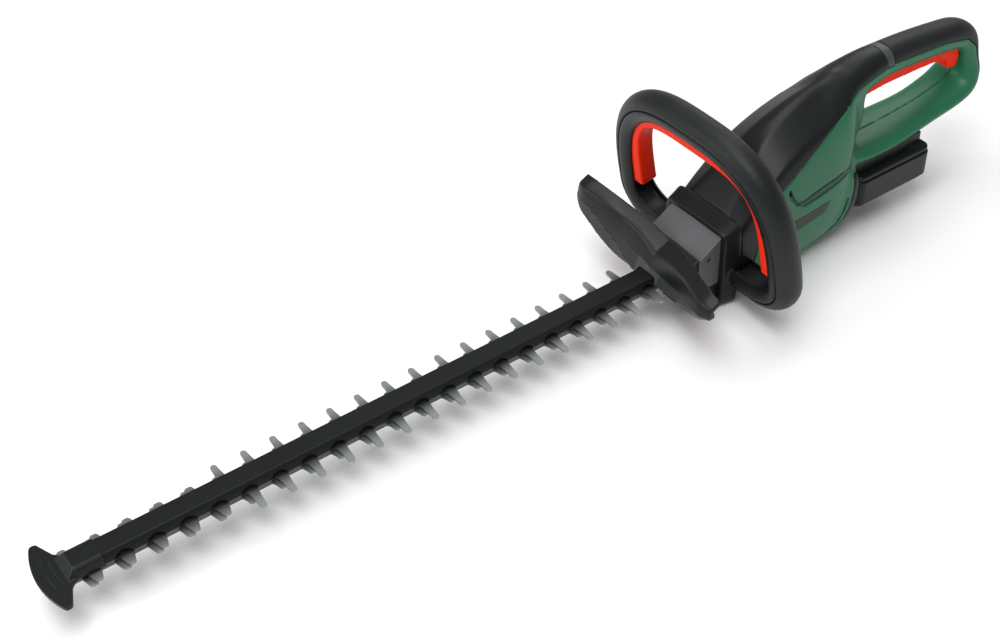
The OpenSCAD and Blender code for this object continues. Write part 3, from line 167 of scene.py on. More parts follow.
def copy_of(piece, name):
    """A second piece with a mesh of its own."""
    made = piece.copy()
    made.data = piece.data.copy()
    made.name = name
    bpy.context.collection.objects.link(made)
    return made


def together(name, *pieces):
    """The pieces as one, without any cutting."""
    alone(*pieces)
    bpy.ops.object.join()
    pieces[0].name = name
    return pieces[0]


def soften(piece, grain, passes, share=1.0):
    """An even skin of the given grain over the piece, its edges rounded off by some passes, then
    thinned out to a share of its faces."""
    finish_modifier(piece, "REMESH", mode="VOXEL", voxel_size=grain / 1000, adaptivity=0)
    finish_modifier(piece, "SMOOTH", factor=SMOOTH_PULL, iterations=passes)
    if share < 1:
        finish_modifier(piece, "DECIMATE", ratio=share)
    return piece


def calm(piece, passes, places):
    """Extra smoothing round some places, each a middle and the reach at which it has faded out."""
    group = piece.vertex_groups.new(name="calm")
    for v in piece.data.vertices:
        share = max(1 - (v.co - mm(*middle)).length * 1000 / reach for middle, reach in places)
        if share > 0:
            group.add([v.index], min(1, 2 * share), "REPLACE")
    finish_modifier(piece, "SMOOTH", factor=SMOOTH_PULL, iterations=passes, vertex_group="calm")
    piece.vertex_groups.clear()


def from_cad(node, name):
    """A copy of a CAD node with its corners merged, ready to be worked on."""
    made = frame["nodes"][node].copy()
    made.data = frame["nodes"][node].data.copy()
    made.name = name
    made.parent = None
    bpy.context.collection.objects.link(made)
    for key in list(made.keys()):
        del made[key]
    with Bench(made):
        bpy.ops.mesh.remove_doubles(threshold=SAME_PLACE)
    return made


def mark_painted_shading(piece, share):
    """Marks the mesh with a value from 0 to 1 where the finishes paint light and shade into the
    colour.
    """
    mark = piece.data.attributes.new("painted_shading", "FLOAT", "POINT")
    for k, v in enumerate(piece.data.vertices):
        mark.data[k].value = min(1, max(0, share(*(v.co * 1000))))


def within(outline, x, z):
    """Whether a place lies inside a closed outline."""
    inside = False
    for (x0, z0), (x1, z1) in zip(outline, outline[1:] + outline[:1]):
        if (z0 > z) != (z1 > z) and x < x0 + (z - z0) / (z1 - z0) * (x1 - x0):
            inside = not inside
    return inside


def fit(piece, body, finish, node, angle=60):
    """The piece gets its finish and its place in the assembly, and the CAD node that it stands for
    is hidden.
    Edges that turn by more than the angle stay sharp."""
    piece.data.materials.clear()
    piece.data.materials.append(finish)
    alone(piece)
    bpy.ops.object.shade_smooth_by_angle(angle=math.radians(angle))
    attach(piece, body)
    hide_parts(node)


# ------------------------------------------------------------------ finishes
class Wire:
    """A socket that takes part in sums."""

    def __init__(self, finish, socket):
        self.finish = finish
        self.socket = socket

    def sum(self, operation, *others):
        return self.finish.node("ShaderNodeMath", {"operation": operation}, dict(enumerate(others)))

    def __add__(self, other):
        return self.sum("ADD", self, other)

    def __mul__(self, other):
        return self.sum("MULTIPLY", self, other)

    def __sub__(self, other):
        return self.sum("SUBTRACT", self, other)

    def __rsub__(self, other):
        return self.sum("SUBTRACT", other, self)

    def size(self):
        return self.sum("ABSOLUTE", self)

    def above(self, edge, soft):
        """0 below the edge, 1 above it, with a soft step between."""
        return self.finish.node(
            "ShaderNodeMapRange", {"interpolation_type": "SMOOTHSTEP"},
            {"Value": self, "From Min": edge - soft, "From Max": edge + soft})


class Finish:
    """A surface finish made of shader nodes on the piece's own coordinates."""

    def __init__(self, name, **shader):
        self.material = bpy.data.materials.new(name)
        self.material.use_nodes = True
        self.tree = self.material.node_tree
        self.shader = self.tree.nodes["Principled BSDF"]
        for key, value in shader.items():
            self.wear(key, value)
        self.place = self.node("ShaderNodeTexCoord", {}, {}, "Object")

    def node(self, kind, settings, values, out=0):
        made = self.tree.nodes.new(kind)
        for key, value in settings.items():
            setattr(made, key, value)
        for key, value in values.items():
            self.plug(made.inputs[key], value)
        return Wire(self, made.outputs[out])

    def plug(self, socket, value):
        if isinstance(value, Wire):
            self.tree.links.new(value.socket, socket)
        elif socket.type == "RGBA":
            socket.default_value = (*value, 1)
        else:
            socket.default_value = value

    def stretched(self, x, y, z):
        return self.node("ShaderNodeMapping", {}, {"Vector": self.place, "Scale": (x, y, z)})

    def noise(self, scale, detail=3, rough=0.5, along=None):
        return self.node("ShaderNodeTexNoise", {}, {
            "Vector": along or self.place, "Scale": scale, "Detail": detail, "Roughness": rough})

    def cells(self, scale, feature="F1"):
        return self.node("ShaderNodeTexVoronoi", {"feature": feature}, {
            "Vector": self.place, "Scale": scale}, "Distance")

    def mix(self, share, a, b):
        made = self.tree.nodes.new("ShaderNodeMix")
        made.data_type = "RGBA"
        self.plug(made.inputs["Factor"], share)
        colours = [s for s in made.inputs if s.type == "RGBA"]
        self.plug(colours[0], a)
        self.plug(colours[1], b)
        return Wire(self, [s for s in made.outputs if s.type == "RGBA"][0])

    def axes(self):
        made = self.tree.nodes.new("ShaderNodeSeparateXYZ")
        self.plug(made.inputs[0], self.place)
        return [Wire(self, o) for o in made.outputs]

    def bump(self, height, strength, depth):
        self.wear("Normal", self.node("ShaderNodeBump", {}, {
            "Strength": strength, "Distance": depth / 1000, "Height": height}))

    def wear(self, socket, value):
        """A keyword argument can't hold a blank, so Base_Color stands for Base Color."""
        self.plug(self.shader.inputs[socket.replace("_", " ")], value)


def moulded(name, colour, deep, rough=0.42, grain=0.3, pits=2600, gloss=0.3, painted_shading=None):
    """Moulded plastic: a spark-eroded skin with faint flow shades, and where the mesh is marked, a
    second colour that is painted light and shade, not a second material."""
    f = Finish(name, Specular_IOR_Level=gloss)
    cloud = f.noise(9, 4, 0.6)
    skin = f.noise(pits, 2, 0.55)
    tone = f.mix(cloud.above(0.5, 0.22), deep, colour)
    # painted light and shade: where the mesh is marked, the base colour is mixed towards a second
    # colour
    if painted_shading:
        marked = f.node("ShaderNodeAttribute", {"attribute_name": "painted_shading"}, {}, "Fac")
        tone = f.mix(marked, tone, painted_shading)
    f.wear("Base_Color", tone)
    f.wear("Roughness", (cloud - 0.5) * 0.12 + (skin - 0.5) * 0.1 + rough)
    f.bump(skin + f.cells(pits * 0.6) * 0.4, grain, 0.05)
    return f.material


def brushed(name, dark, light, rough=0.34):
    """Ground steel with its grinding lines along x."""
    f = Finish(name, Metallic=1.0)
    lines = f.noise(1, 3, 0.6, f.stretched(30, 1700, 1700))
    cloud = f.noise(28, 4, 0.6)
    f.wear("Base_Color", f.mix(lines.above(0.5, 0.3), dark, light))
    f.wear("Roughness", (lines - 0.5) * 0.2 + (cloud - 0.5) * 0.18 + rough)
    f.bump(lines, 0.25, 0.03)
    return f.material


def blade_steel(name):
    """Blade steel: darkened at the strip by a painted shadow of the rail, lighter towards the tooth
    tips, fine lines across.
    """
    f = Finish(name, Metallic=0.75)
    y = f.axes()[1]
    # painted shadow: dark near the strip, where the rail shades the blades, lighter out towards the
    # tips
    out = (y.size() * 1000).above(19, 9)
    lines = f.noise(1, 3, 0.6, f.stretched(1400, 60, 1400))
    cloud = f.noise(40, 4, 0.6)
    base = f.mix(out, (0.03, 0.034, 0.036), (0.36, 0.38, 0.385))
    scuffs = (lines - 0.5) * 0.5 + (cloud - 0.5) * 0.5 + 0.3
    f.wear("Base_Color", f.mix(scuffs, base, (0.2, 0.21, 0.215)))
    f.wear("Roughness", (lines - 0.5) * 0.25 + (cloud - 0.5) * 0.15 + 0.4)
    f.bump(lines, 0.3, 0.03)
    return f.material


def cast_alloy(name):
    """Die-cast metal: a coarse matt skin."""
    f = Finish(name, Metallic=0.85)
    skin = f.noise(900, 5, 0.65)
    cloud = f.noise(30, 3, 0.5)
    f.wear("Base_Color", f.mix(cloud, (0.32, 0.33, 0.34), (0.5, 0.51, 0.52)))
    f.wear("Roughness", (skin - 0.5) * 0.3 + 0.5)
    f.bump(skin, 0.5, 0.12)
    return f.material


def laminated(name):
    """Stacked sheet steel: thin lines across the stack."""
    f = Finish(name, Metallic=0.8)
    z = f.axes()[2]
    leaf = f.node("ShaderNodeMath", {"operation": "FRACT"}, {0: z * 2000})
    gap = leaf.above(0.86, 0.06)
    cloud = f.noise(60, 3, 0.5)
    f.wear("Base_Color", f.mix(gap, (0.3, 0.3, 0.31), (0.06, 0.055, 0.05)))
    f.wear("Roughness", (cloud - 0.5) * 0.2 + 0.45)
    f.bump(1 - gap, 0.5, 0.05)
    return f.material


def bronze_finish(name):
    """Sintered bronze with its pores."""
    f = Finish(name, Metallic=1.0)
    pores = f.cells(1500)
    cloud = f.noise(70, 3, 0.5)
    f.wear("Base_Color", f.mix(cloud, (0.42, 0.24, 0.1), (0.62, 0.4, 0.19)))
    f.wear("Roughness", (cloud - 0.5) * 0.2 + 0.38)
    f.bump(pores, 0.3, 0.04)
    return f.material


def gold_finish(name):
    """Plated contacts, scuffed along x by the pack that slides over them."""
    f = Finish(name, Metallic=1.0)
    scuff = f.noise(1, 3, 0.6, f.stretched(60, 2500, 2500))
    f.wear("Base_Color", f.mix(scuff, (0.75, 0.5, 0.16), (0.95, 0.7, 0.3)))
    f.wear("Roughness", (scuff - 0.5) * 0.2 + 0.25)
    f.bump(scuff, 0.2, 0.02)
    return f.material


def board_finish(name):
    """Circuit board: solder resist with copper runs and pads under it."""
    f = Finish(name, Metallic=0.0)
    runs = f.cells(260, "DISTANCE_TO_EDGE")
    copper = 1 - runs.above(0.07, 0.02)
    pads = 1 - f.cells(190).above(0.16, 0.02)
    base = f.mix(copper, (0.012, 0.12, 0.045), (0.03, 0.23, 0.08))
    f.wear("Base_Color", f.mix(pads, base, (0.55, 0.56, 0.54)))
    f.wear("Roughness", (f.noise(300) - 0.5) * 0.2 + 0.35)
    f.bump(copper + pads, 0.4, 0.06)
    return f.material


def wrapped_cell(name):
    """Shrink sleeve on the cells: faint creases round the ends."""
    f = Finish(name, Metallic=0.0)
    y = f.axes()[1]
    crease = f.noise(1, 3, 0.6, f.stretched(300, 30, 300))
    end = (y.size() * 1000).above(27, 0.6)
    f.wear("Base_Color", f.mix(end, (0.02, 0.16, 0.42), (0.32, 0.33, 0.34)))
    f.wear("Roughness", (crease - 0.5) * 0.3 + 0.35)
    f.bump(crease, 0.4, 0.1)
    return f.material


def felted(name):
    """Wool felt: matt, with tufts and hair."""
    f = Finish(name, Sheen_Weight=0.5)
    hair = f.noise(1400, 5, 0.75)
    tufts = f.noise(240, 4, 0.6)
    f.wear("Base_Color", f.mix(tufts, (0.1, 0.095, 0.085), (0.22, 0.21, 0.19)))
    f.wear("Roughness", (hair - 0.5) * 0.1 + 0.92)
    f.bump(hair + tufts, 0.8, 0.4)
    return f.material


def rubbery(name, colour, deep):
    """Soft overlay: matt, with a fine leather-like grain."""
    f = Finish(name, Sheen_Weight=0.03, Specular_IOR_Level=0.3)
    grain = f.cells(1500)
    skin = f.noise(3000, 2, 0.6)
    cloud = f.noise(8, 4, 0.6)
    f.wear("Base_Color", f.mix(cloud.above(0.5, 0.25), deep, colour))
    f.wear("Roughness", (cloud - 0.5) * 0.14 + (skin - 0.5) * 0.12 + 0.5)
    f.bump(grain * 0.7 + skin, 0.3, 0.06)
    return f.material


# The finishes, by the record's slot. guard_black, rail_black and blade are second looks of a slot.
SHELF = {
    # guard moulding: its second colour is a painted reflection, lighter on the guard's straight
    # face
    "guard_black": moulded(
        "guard moulding", (0.0075, 0.009, 0.0095), (0.006, 0.0075, 0.008), 0.38, 0.3, 2300,
        gloss=0.28, painted_shading=(0.045, 0.048, 0.05)),
    # green moulding: its second colour is painted shade, darker in the side groove and the band
    # under it
    "green_shell": moulded(
        "green moulding", (0.017, 0.15, 0.071), (0.014, 0.13, 0.062), 0.36, 0.25, 2300,
        painted_shading=(0.006, 0.052, 0.028)),
    "black_shell": moulded(
        "black moulding", (0.0078, 0.0095, 0.01), (0.006, 0.0075, 0.008), 0.37, 0.3, 2300,
        gloss=0.24),
    "grey_shell": moulded(
        "dark grey moulding", (0.105, 0.109, 0.115), (0.094, 0.098, 0.104), 0.42, 0.35, 2300),
    "soft_grip": rubbery("soft overlay", (0.0075, 0.009, 0.0095), (0.0055, 0.007, 0.0075)),
    "ring_grey": moulded(
        "grey band", (0.05, 0.063, 0.063), (0.044, 0.055, 0.055), 0.4, 0.25, 2300),
    "red_plastic": moulded(
        "red-orange moulding", (0.98, 0.03, 0.004), (0.92, 0.024, 0.003), 0.45, 0.15, 2300,
        gloss=0.1),
    "label_black": moulded(
        "bare label plate", (0.012, 0.013, 0.013), (0.01, 0.011, 0.011), 0.3, 0.12, 3000),
    "case_alloy": cast_alloy("cast alloy"),
    "steel": brushed("turned steel", (0.38, 0.39, 0.4), (0.62, 0.63, 0.64)),
    "dark_steel": brushed("dark steel", (0.1, 0.1, 0.105), (0.2, 0.205, 0.21), 0.45),
    "laminations": laminated("laminated steel"),
    "bronze": bronze_finish("sintered bronze"),
    "contact_gold": gold_finish("plated contact"),
    "board_green": board_finish("circuit board"),
    "cell_blue": wrapped_cell("sleeved cell"),
    "felt": felted("wool felt"),
    "white_nylon": moulded(
        "natural nylon", (0.62, 0.61, 0.57), (0.55, 0.54, 0.5), 0.45, 0.2, 2300),
    "rail_black": moulded(
        "flat black moulding", (0.006, 0.0072, 0.0076), (0.0045, 0.0055, 0.006), 0.5, 0.2, 2300,
        gloss=0.2),
    "blade": blade_steel("blade steel"),
}

# Every CAD node starts with the finish of its slot
for row in frame["record"]["subparts"]:
    node = frame["nodes"][row["node"]]
    node.data.materials.clear()
    node.data.materials.append(SHELF[row["material_slot"]])
for name in ("upper_blade", "lower_blade"):
    frame["nodes"][name].data.materials[0] = SHELF["blade"]


# --------------------------------------------------------------------- body
# Stations: x, height of the widest place, turn, half width, rise, drop, squareness. On the body,
# an eighth value below 1 planes the upper corners down to that share of their reach.
BODY_W = 42
SHOULDER_LEAN = math.radians(56)
BODY = [
    (-1.3, 46, 0, BODY_W - 0.5, 39, 46.6, 4.6, 0.96),
    (-24, 50, 0, BODY_W + 0.3, 60, 50.7, 4, 0.945),
    (-50, 55, 0, BODY_W + 0.4, 81, 55.9, 3.5, 0.93),
    (-82, 62, 0, BODY_W, 91.5, 63, 3.1, 0.925),
    (-117, 70, 0, BODY_W - 1.5, 94, 70, 2.8, 0.93),
    (-134, 84, 0, BODY_W - 5, 84, 70, 2.8, 0.95),
    (-144, 100, 0, BODY_W - 12, 68, 31, 2.6, 0.97),
    (-154, 116, 0, BODY_W - 19, 52.5, 40, 2.4, 1),
    (-165, 130, 0, BODY_W - 22.5, 40, 30, 2.3, 1),
]
FOOT = [
    (-110, 50, 0, BODY_W - 4, 40, 49.5, 3.2),
    (-138, 50, 0, BODY_W - 4.5, 35, 42, 3),
    (-147, 52, 0, BODY_W - 5.2, 29, 34, 3),
    (-152.6, 53, 0, BODY_W - 6, 26, 31, 3),
]
GRIP_W = 16
SCOOP_W = 28.5
HANDLE = [
    (-96, 117, -34, BODY_W - 14, 20.5, 18, 2.8),
    (-118, 134, -28, BODY_W - 15, 22, 18, 2.6),
    (-142, 147, -20, GRIP_W + 8, 19.5, 18, 2.4),
    (-168, 154.5, -11, GRIP_W + 4, 17, 16.5, 2.3),
    (-197, 157, -3, GRIP_W + 0.5, 15.3, 15.5, 2.3),
    (-232, 155.6, 3, GRIP_W, 15, 15, 2.3),
    (-268, 152.2, 6, GRIP_W, 14.6, 14.4, 2.3),
    (-293, 148, 15, GRIP_W, 14.8, 13.4, 2.3),
    (-306, 138, 52, GRIP_W, 15.4, 12.4, 2.3),
    (-311, 121.5, 80, GRIP_W + 2, 12.8, 11.5, 2.3),
    (-312.5, 107.5, 95, GRIP_W + 6, 12.8, 12.2, 2.3),
    (-306.5, 95.5, 126, GRIP_W + 9, 11.5, 12.4, 2.3),
    (-290, 87.5, 158, GRIP_W + 9.5, 8.5, 11.4, 2.3),
    (-255, 81.5, 174, SCOOP_W - 3, 8, 10.4, 2.2),
    (-205, 79, 180, SCOOP_W + 1.5, 8.5, 9.3, 2.2),
    (-165, 79.5, 180, SCOOP_W + 2, 9.5, 9.5, 2.2),
    (-140, 83.5, 180, SCOOP_W + 0.5, 12, 13, 2.2),
]
WALL = 2.8
OPEN_FRONT = 6  # the inside runs this far past the body's front


def eased(stations, steps):
    """Stations drawn closer on a smooth curve through the given ones."""
    out = []
    for k in range(len(stations) - 1):
        a = stations[max(k - 1, 0)]
        b, c = stations[k], stations[k + 1]
        d = stations[min(k + 2, len(stations) - 1)]
        for s in range(steps):
            t = s / steps
            out.append(tuple(
                0.5 * (2 * q + (r - p) * t + (2 * p - 5 * q + 4 * r - w) * t * t
                       + (3 * q - p - 3 * r + w) * t ** 3)
                for p, q, r, w in zip(a, b, c, d)))
    out.append(stations[-1])
    return out


def oval(st, inset=0, sides=72):
    """Section of the body at a station, some way inside its skin."""
    x, z, turn, half, rise, drop, square = st[:7]
    points = []
    for k in range(sides):
        t = 2 * math.pi * k / sides
        c, s = math.cos(t), math.sin(t)
        b = (rise if s >= 0 else drop) - inset
        points.append([
            (half - inset) * math.copysign(abs(c) ** (2 / square), c),
            b * math.copysign(abs(s) ** (2 / square), s)])
    if len(st) > 7 and st[7] < 1:
        n = (math.cos(SHOULDER_LEAN), math.sin(SHOULDER_LEAN))
        far = max(p[0] * n[0] + p[1] * n[1] for p in points) * st[7]
        for p in points:
            side = 1 if p[0] >= 0 else -1
            over = p[0] * side * n[0] + p[1] * n[1] - far
            if over > 0:
                p[0] -= side * over * n[0]
                p[1] -= over * n[1]
    a = math.radians(turn)
    return [(x - p[1] * math.sin(a), p[0], z + p[1] * math.cos(a)) for p in points]


def drawn(name, stations, inset, sides=72, steps=6):
    """The bar through a set of stations, some way inside the skin."""
    return bar(name, [oval(st, inset, sides) for st in eased(stations, steps)])


def shell_bars(name, inset, sides=72, steps=6):
    """Body, foot and handle in one object. The inner one runs out through the open front."""
    body = [oval(st, inset, sides) for st in eased(BODY, steps)]
    if inset:
        body = [[(x + OPEN_FRONT, y, z) for x, y, z in body[0]]] + body
    return together(
        name, bar(name, body),
        drawn(name + " foot", FOOT, inset, sides, steps),
        drawn(name + " handle", HANDLE, inset, sides, steps))


# The three bars meet in soft hollows, above where the handle leaves and in front of the battery
hull = soften(shell_bars("hull", 0), 1.6, 7)
calm(hull, 110, [((-145, side * 16, 150), 42) for side in (-1, 1)])
calm(hull, 40, [((-152, side * 26, 92), 24) for side in (-1, 1)])
carve(hull, block("ground", (-400, -100, -40), (60, 100, 0)))
cavity = soften(shell_bars("cavity", WALL, 48, 4), 2.2, 4)
# Screw bosses stand in from both halves, and their heads sit in wells on the right
SCREWS = [(-84, 104), (-68, 20), (-128, 112), (-205, 81), (-311, 104), (-307.5, 137)]
BOSS_D = 11
SCREW_WELL_D = 8.4
SCREW_WELL_FLOOR = 6
for x, z in SCREWS:
    carve(cavity, rod("boss", x, z, BOSS_D, -40, 40))
shell = copy_of(hull, "shell")
carve(shell, cavity)

# Lines seen from the side that divide the shell between its pieces
SEAM = 0.22  # half a joint
WIDE = 60  # the cutting tools reach this far to each side
HIGH = 200
COVER_LINE = [
    (-13, -5), (-19, 40), (-30, 80), (-47, 99.5), (-66, 111.5), (-82, 122), (-98, 131), (-115, 140),
    (-134, 148), (-154, 154.5), (-190, 159)]
RING_X = (-199, -190)
RING_Z = 158
GRIP_LINE = [
    (-199, 159.2), (-268, 154.5), (-298, 148), (-311, 136.5), (-316.5, 118), (-319, 100),
    (-350, 90)]
SOLE_REAR = -180
SOLE_LINE = [
    (-98, -5), (-110, 4), (-127, 13.5), (-137, 27), (-142.5, 45), (-146, 71), (SOLE_REAR, 71),
    (SOLE_REAR, -5)]


def cover_space(by):
    """The room of one piece, as a cutting tool. It is moved back, or grown, by half a joint."""
    line = [(x + by, z + by) for x, z in COVER_LINE]
    return slab("cover space", line + [(RING_X[1] + by, HIGH), (10, HIGH), (10, -5)], -WIDE, WIDE)


def grip_space(by):
    line = [(x - by, z + by) for x, z in GRIP_LINE]
    return slab("grip space", [(RING_X[0] - by, HIGH)] + line + [(-350, HIGH)], -WIDE, WIDE)


def ring_space(by):
    rear, front, low = RING_X[0] - by, RING_X[1] + by, RING_Z - by
    return slab("ring space", [(rear, low), (front, low), (front, HIGH), (rear, HIGH)], -WIDE, WIDE)


def sole_space(by):
    line = [(x + by, z + by) if x > SOLE_REAR else (x, z) for x, z in SOLE_LINE]
    return slab("sole space", line, -WIDE, WIDE)


def part_of(name, space):
    """The stretch of the shell that lies in a room."""
    return carve(copy_of(shell, name), space, "INTERSECT")


top_cover = part_of("cover", cover_space(SEAM))
grip_ring = part_of("band", ring_space(-SEAM))
rear_grip = part_of("grip", grip_space(SEAM))
sole_cover = part_of("belly", sole_space(-SEAM))
housing = copy_of(shell, "housing")
for space in (cover_space(-SEAM), ring_space(SEAM), grip_space(-SEAM), sole_space(SEAM)):
    carve(housing, space)

# Slot for the trigger, and room for the dock with a little clearance
SLOT_HALF = 8.3
DOCK_HALF = 27.1
carve(housing, block("slot", (-300, -SLOT_HALF, 124), (-168, SLOT_HALF, 148)))
dock_room = block("dock room", (-238.1, -DOCK_HALF, 69), (-148.9, DOCK_HALF, 77.1))
carve(housing, dock_room, keep=True)
carve(sole_cover, dock_room)

# Recesses in the sides: the curved groove, the label's seat, the shallow band under the groove,
# and the line round the lower edge. Each is cut down to a core that lies some way below the skin.
GROOVE = [
    (-54.5, 98), (-57.5, 88), (-64.5, 78.5), (-74, 76.5), (-98, 81.7), (-141, 87), (-141, 89.5),
    (-97.5, 85), (-74.5, 80), (-66, 82), (-60.5, 89.5), (-57.5, 98)]
LABEL = [(-58, 61), (-111, 64.6), (-105.5, 53.6), (-58, 47)]
BAND = [
    (-64, 79), (-74, 77), (-98, 82), (-141, 87.3), (-141, 82.5), (-122, 79.3), (-99.5, 74.8),
    (-76, 72)]
LOWER = [
    (-4, 15), (-60, 15), (-92, 17.5), (-112, 19.5), (-126, 26), (-133, 38), (-137, 52), (-139, 52),
    (-135.5, 37), (-128, 24), (-113, 16.5), (-92, 14), (-60, 12), (-4, 12)]
LABEL_PLATE = [(-58.3, 60.6), (-110.4, 64.1), (-105.1, 54), (-58.3, 47.4)]
LABEL_TOP = 0.35  # the plate's face lies this far below the skin
FLANK = 25  # what lies further out than this is a side wall
BESIDE = ((FLANK, WIDE), (-WIDE, -FLANK))
groove_core = drawn("groove core", BODY, 2.2)
label_core = drawn("label core", BODY, 1.0)
line_core = drawn("line core", BODY, 1.3)
for outline, core in (
    (GROOVE, groove_core), (LABEL, label_core), (BAND, line_core), (LOWER, line_core),
):
    for low, high in BESIDE:
        chisel = slab("chisel", outline, low, high)
        carve(chisel, core, keep=True)
        carve(housing, chisel)

left = copy_of(housing, "left_shell")
right = copy_of(housing, "right_shell")
carve(left, block("half", (-400, -80, -20), (60, 0, 220)))
carve(right, block("half", (-400, 0, -20), (60, 80, 220)))
for x, z in SCREWS:
    carve(right, rod("well", x, z, SCREW_WELL_D, -WIDE, -SCREW_WELL_FLOOR))
plates = []
for low, high in BESIDE:
    plate = slab("plate", LABEL_PLATE, low, high)
    carve(plate, drawn("top", BODY, LABEL_TOP), "INTERSECT")
    carve(plate, label_core, keep=True)
    plates.append(plate)
label = together("label_plates", *plates)
for old in (groove_core, label_core, line_core, hull, shell, housing):
    bpy.data.objects.remove(old)


def groove_painted_shade(x, y, z):
    """1 in the side groove and the band below it, where the green is darkened as painted shade, 0
    elsewhere.
    """
    return abs(y) > FLANK and (within(GROOVE, x, z) or within(BAND, x, z))


# The groove and the band under it get painted shade, a darker green in the finish
for piece in (left, right):
    soften(piece, 0.9, 2, 0.6)
    mark_painted_shading(piece, groove_painted_shade)
for piece, grain, passes, share in (
    (top_cover, 0.9, 3, 0.6), (rear_grip, 0.9, 3, 0.6), (sole_cover, 0.9, 3, 0.6),
    (grip_ring, 0.6, 3, 0.5), (label, 0.35, 2, 0.5),
):
    soften(piece, grain, passes, share)
for piece, slot, node in (
    (left, "green_shell", "housing_left"), (right, "green_shell", "housing_right"),
    (top_cover, "black_shell", "top_cover"), (rear_grip, "soft_grip", "rear_grip"),
    (sole_cover, "black_shell", "sole_cover"), (grip_ring, "ring_grey", "grip_ring"),
    (label, "label_black", "side_inserts"),
):
    fit(piece, "trimmer", SHELF[slot], node)

# ------------------------------------------------------------- front handle
LOOP_E = 2.9  # squareness of the arch
LOOP_W = 99  # half width, at the tube's middle
LOOP_MID = 63  # height where the arch ends and the lower corners start
LOOP_RISE = 113
CORNER_W = 33
CORNER_H = 29
LOOP_R = 14.5
LEAN = math.radians(10.2)
FOOT_X = -10.8
BOW_END = LOOP_MID + 4.5
BOW_IN = -21.5  # hand side of the bow, from the tube's middle
BOW_SEAT = -8.6
BOW_E = 4.2
BOW_HALF = 8.9
BOW_WALL = 2.5
BOW_TURNS = [-1, 1, 1.5, 2.5, 4, 6, 9, 12, 16, *range(20, 91, 3), 90]


def loop_station(t):
    """Place across and up the arch at an angle, and the turn of its outward side."""
    c, s = math.cos(t), math.sin(t)
    return (LOOP_W * abs(c) ** (2 / LOOP_E), LOOP_MID + LOOP_RISE * abs(s) ** (2 / LOOP_E),
            math.atan2(abs(s) ** (2 - 2 / LOOP_E) / LOOP_RISE, abs(c) ** (2 - 2 / LOOP_E) / LOOP_W))


def corner_station(t):
    """The same for a lower corner, where the angle is below 0."""
    c, s = math.cos(t), math.sin(t)
    return (LOOP_W - CORNER_W + CORNER_W * c, LOOP_MID + CORNER_H * s,
            math.atan2(s / CORNER_H, c / CORNER_W))


def whole_path(half):
    """The right half of a path, run the other way, and then the left half from the top down."""
    return [(-y, s, math.pi - a) for y, s, a in reversed(half[1:])] + half


def leaned(across, up, depth):
    """A place in the handle's plane, or some depth behind it, once the handle leans forward."""
    return (FOOT_X - depth * math.cos(LEAN) + up * math.sin(LEAN), across,
            up * math.cos(LEAN) + depth * math.sin(LEAN))


def ring_at(station, section):
    """A section of the handle set on one station of its path."""
    y, s, a = station
    return [leaned(y + out * math.cos(a), s + out * math.sin(a), depth) for out, depth in section]


BOTTOM = LOOP_MID - CORNER_H
ARCH = [loop_station(math.radians(t)) for t in (*range(90, 9, -4), 7, 4, 2)]
SIDE = [(LOOP_W, BOW_END, 0), (LOOP_W, LOOP_MID, 0)]
CORNER = [corner_station(math.radians(-t)) for t in range(9, 91, 9)]
ENDING = [(54, BOTTOM, -math.pi / 2), (BODY_W + 0.9, BOTTOM, -math.pi / 2)]
GRIP_PATH = whole_path(ARCH + SIDE + CORNER + ENDING)
FRAME_PATH = whole_path(ARCH + SIDE + CORNER + ENDING + [(30, BOTTOM, -math.pi / 2)])


def mirrored(points):
    """The same points on the other side, run the other way."""
    return [(x, -y) for x, y in reversed(points)]


def on_tube(a, r=LOOP_R):
    """A place on the tube, by its angle from straight outwards."""
    return (r * math.cos(a), r * math.sin(a))


# Sections of the handle: outwards from the tube's middle, and depth from front to rear
SEAM_OUT = 3  # where the soft tube meets the frame
SEAM_A = math.acos(SEAM_OUT / LOOP_R)
SEAM_DEEP = 10.8
CORE_OUT = 7.5
CORE_DEEP = 7.8
CORE_SLOPE = 3
CHANNEL_HALF = 9.2  # the frame's channel for the bow
CHANNEL_FLOOR = -4.5


def grip_outline():
    """Soft tube: round outside, open to the frame on the inner side, with two seams."""
    steps = 26
    reach = SEAM_A - 0.02
    outer = [on_tube(reach - 2 * reach * k / steps) for k in range(steps + 1)]
    seam = [on_tube(-reach - 0.02, LOOP_R - 0.9), (SEAM_OUT + 0.1, -12),
            (SEAM_OUT + 0.1, -SEAM_DEEP - 0.1)]
    core = [(CORE_OUT - CORE_SLOPE, -SEAM_DEEP - 0.05), (CORE_OUT + 0.05, -CORE_DEEP)]
    return outer + seam + core + mirrored(core) + mirrored(seam)


def frame_outline():
    """Hard frame: the inner side of the tube, the core that the soft tube sits on, the channel."""
    lip = math.pi - math.asin(CHANNEL_HALF / LOOP_R)
    side = [on_tube(lip + (SEAM_A + 0.075 - lip) * k / 6) for k in range(7)]
    side += [on_tube(SEAM_A + 0.06, LOOP_R - 1.6), (SEAM_OUT - 0.05, 12), (SEAM_OUT, SEAM_DEEP),
             (CORE_OUT - CORE_SLOPE, SEAM_DEEP), (CORE_OUT, CORE_DEEP)]
    return side + mirrored(side) + [(CHANNEL_FLOOR, -CHANNEL_HALF), (CHANNEL_FLOOR, CHANNEL_HALF)]


def bow_outline():
    """Section of the red bow: its first number runs from 0 at the frame to 1 on the hand side."""
    deep = BOW_SEAT - BOW_IN
    outside = [(0, -BOW_HALF), (1 - 3 / deep, -BOW_HALF), (1 - 1.4 / deep, -BOW_HALF + 0.4),
               (1 - 0.4 / deep, -BOW_HALF + 1.4), (1, -BOW_HALF + 3)]
    inside = [(0, BOW_HALF - BOW_WALL), (1 - 4 / deep, BOW_HALF - BOW_WALL),
              (1 - BOW_WALL / deep, BOW_HALF - 4.2)]
    return outside + mirrored(outside) + inside + mirrored(inside)


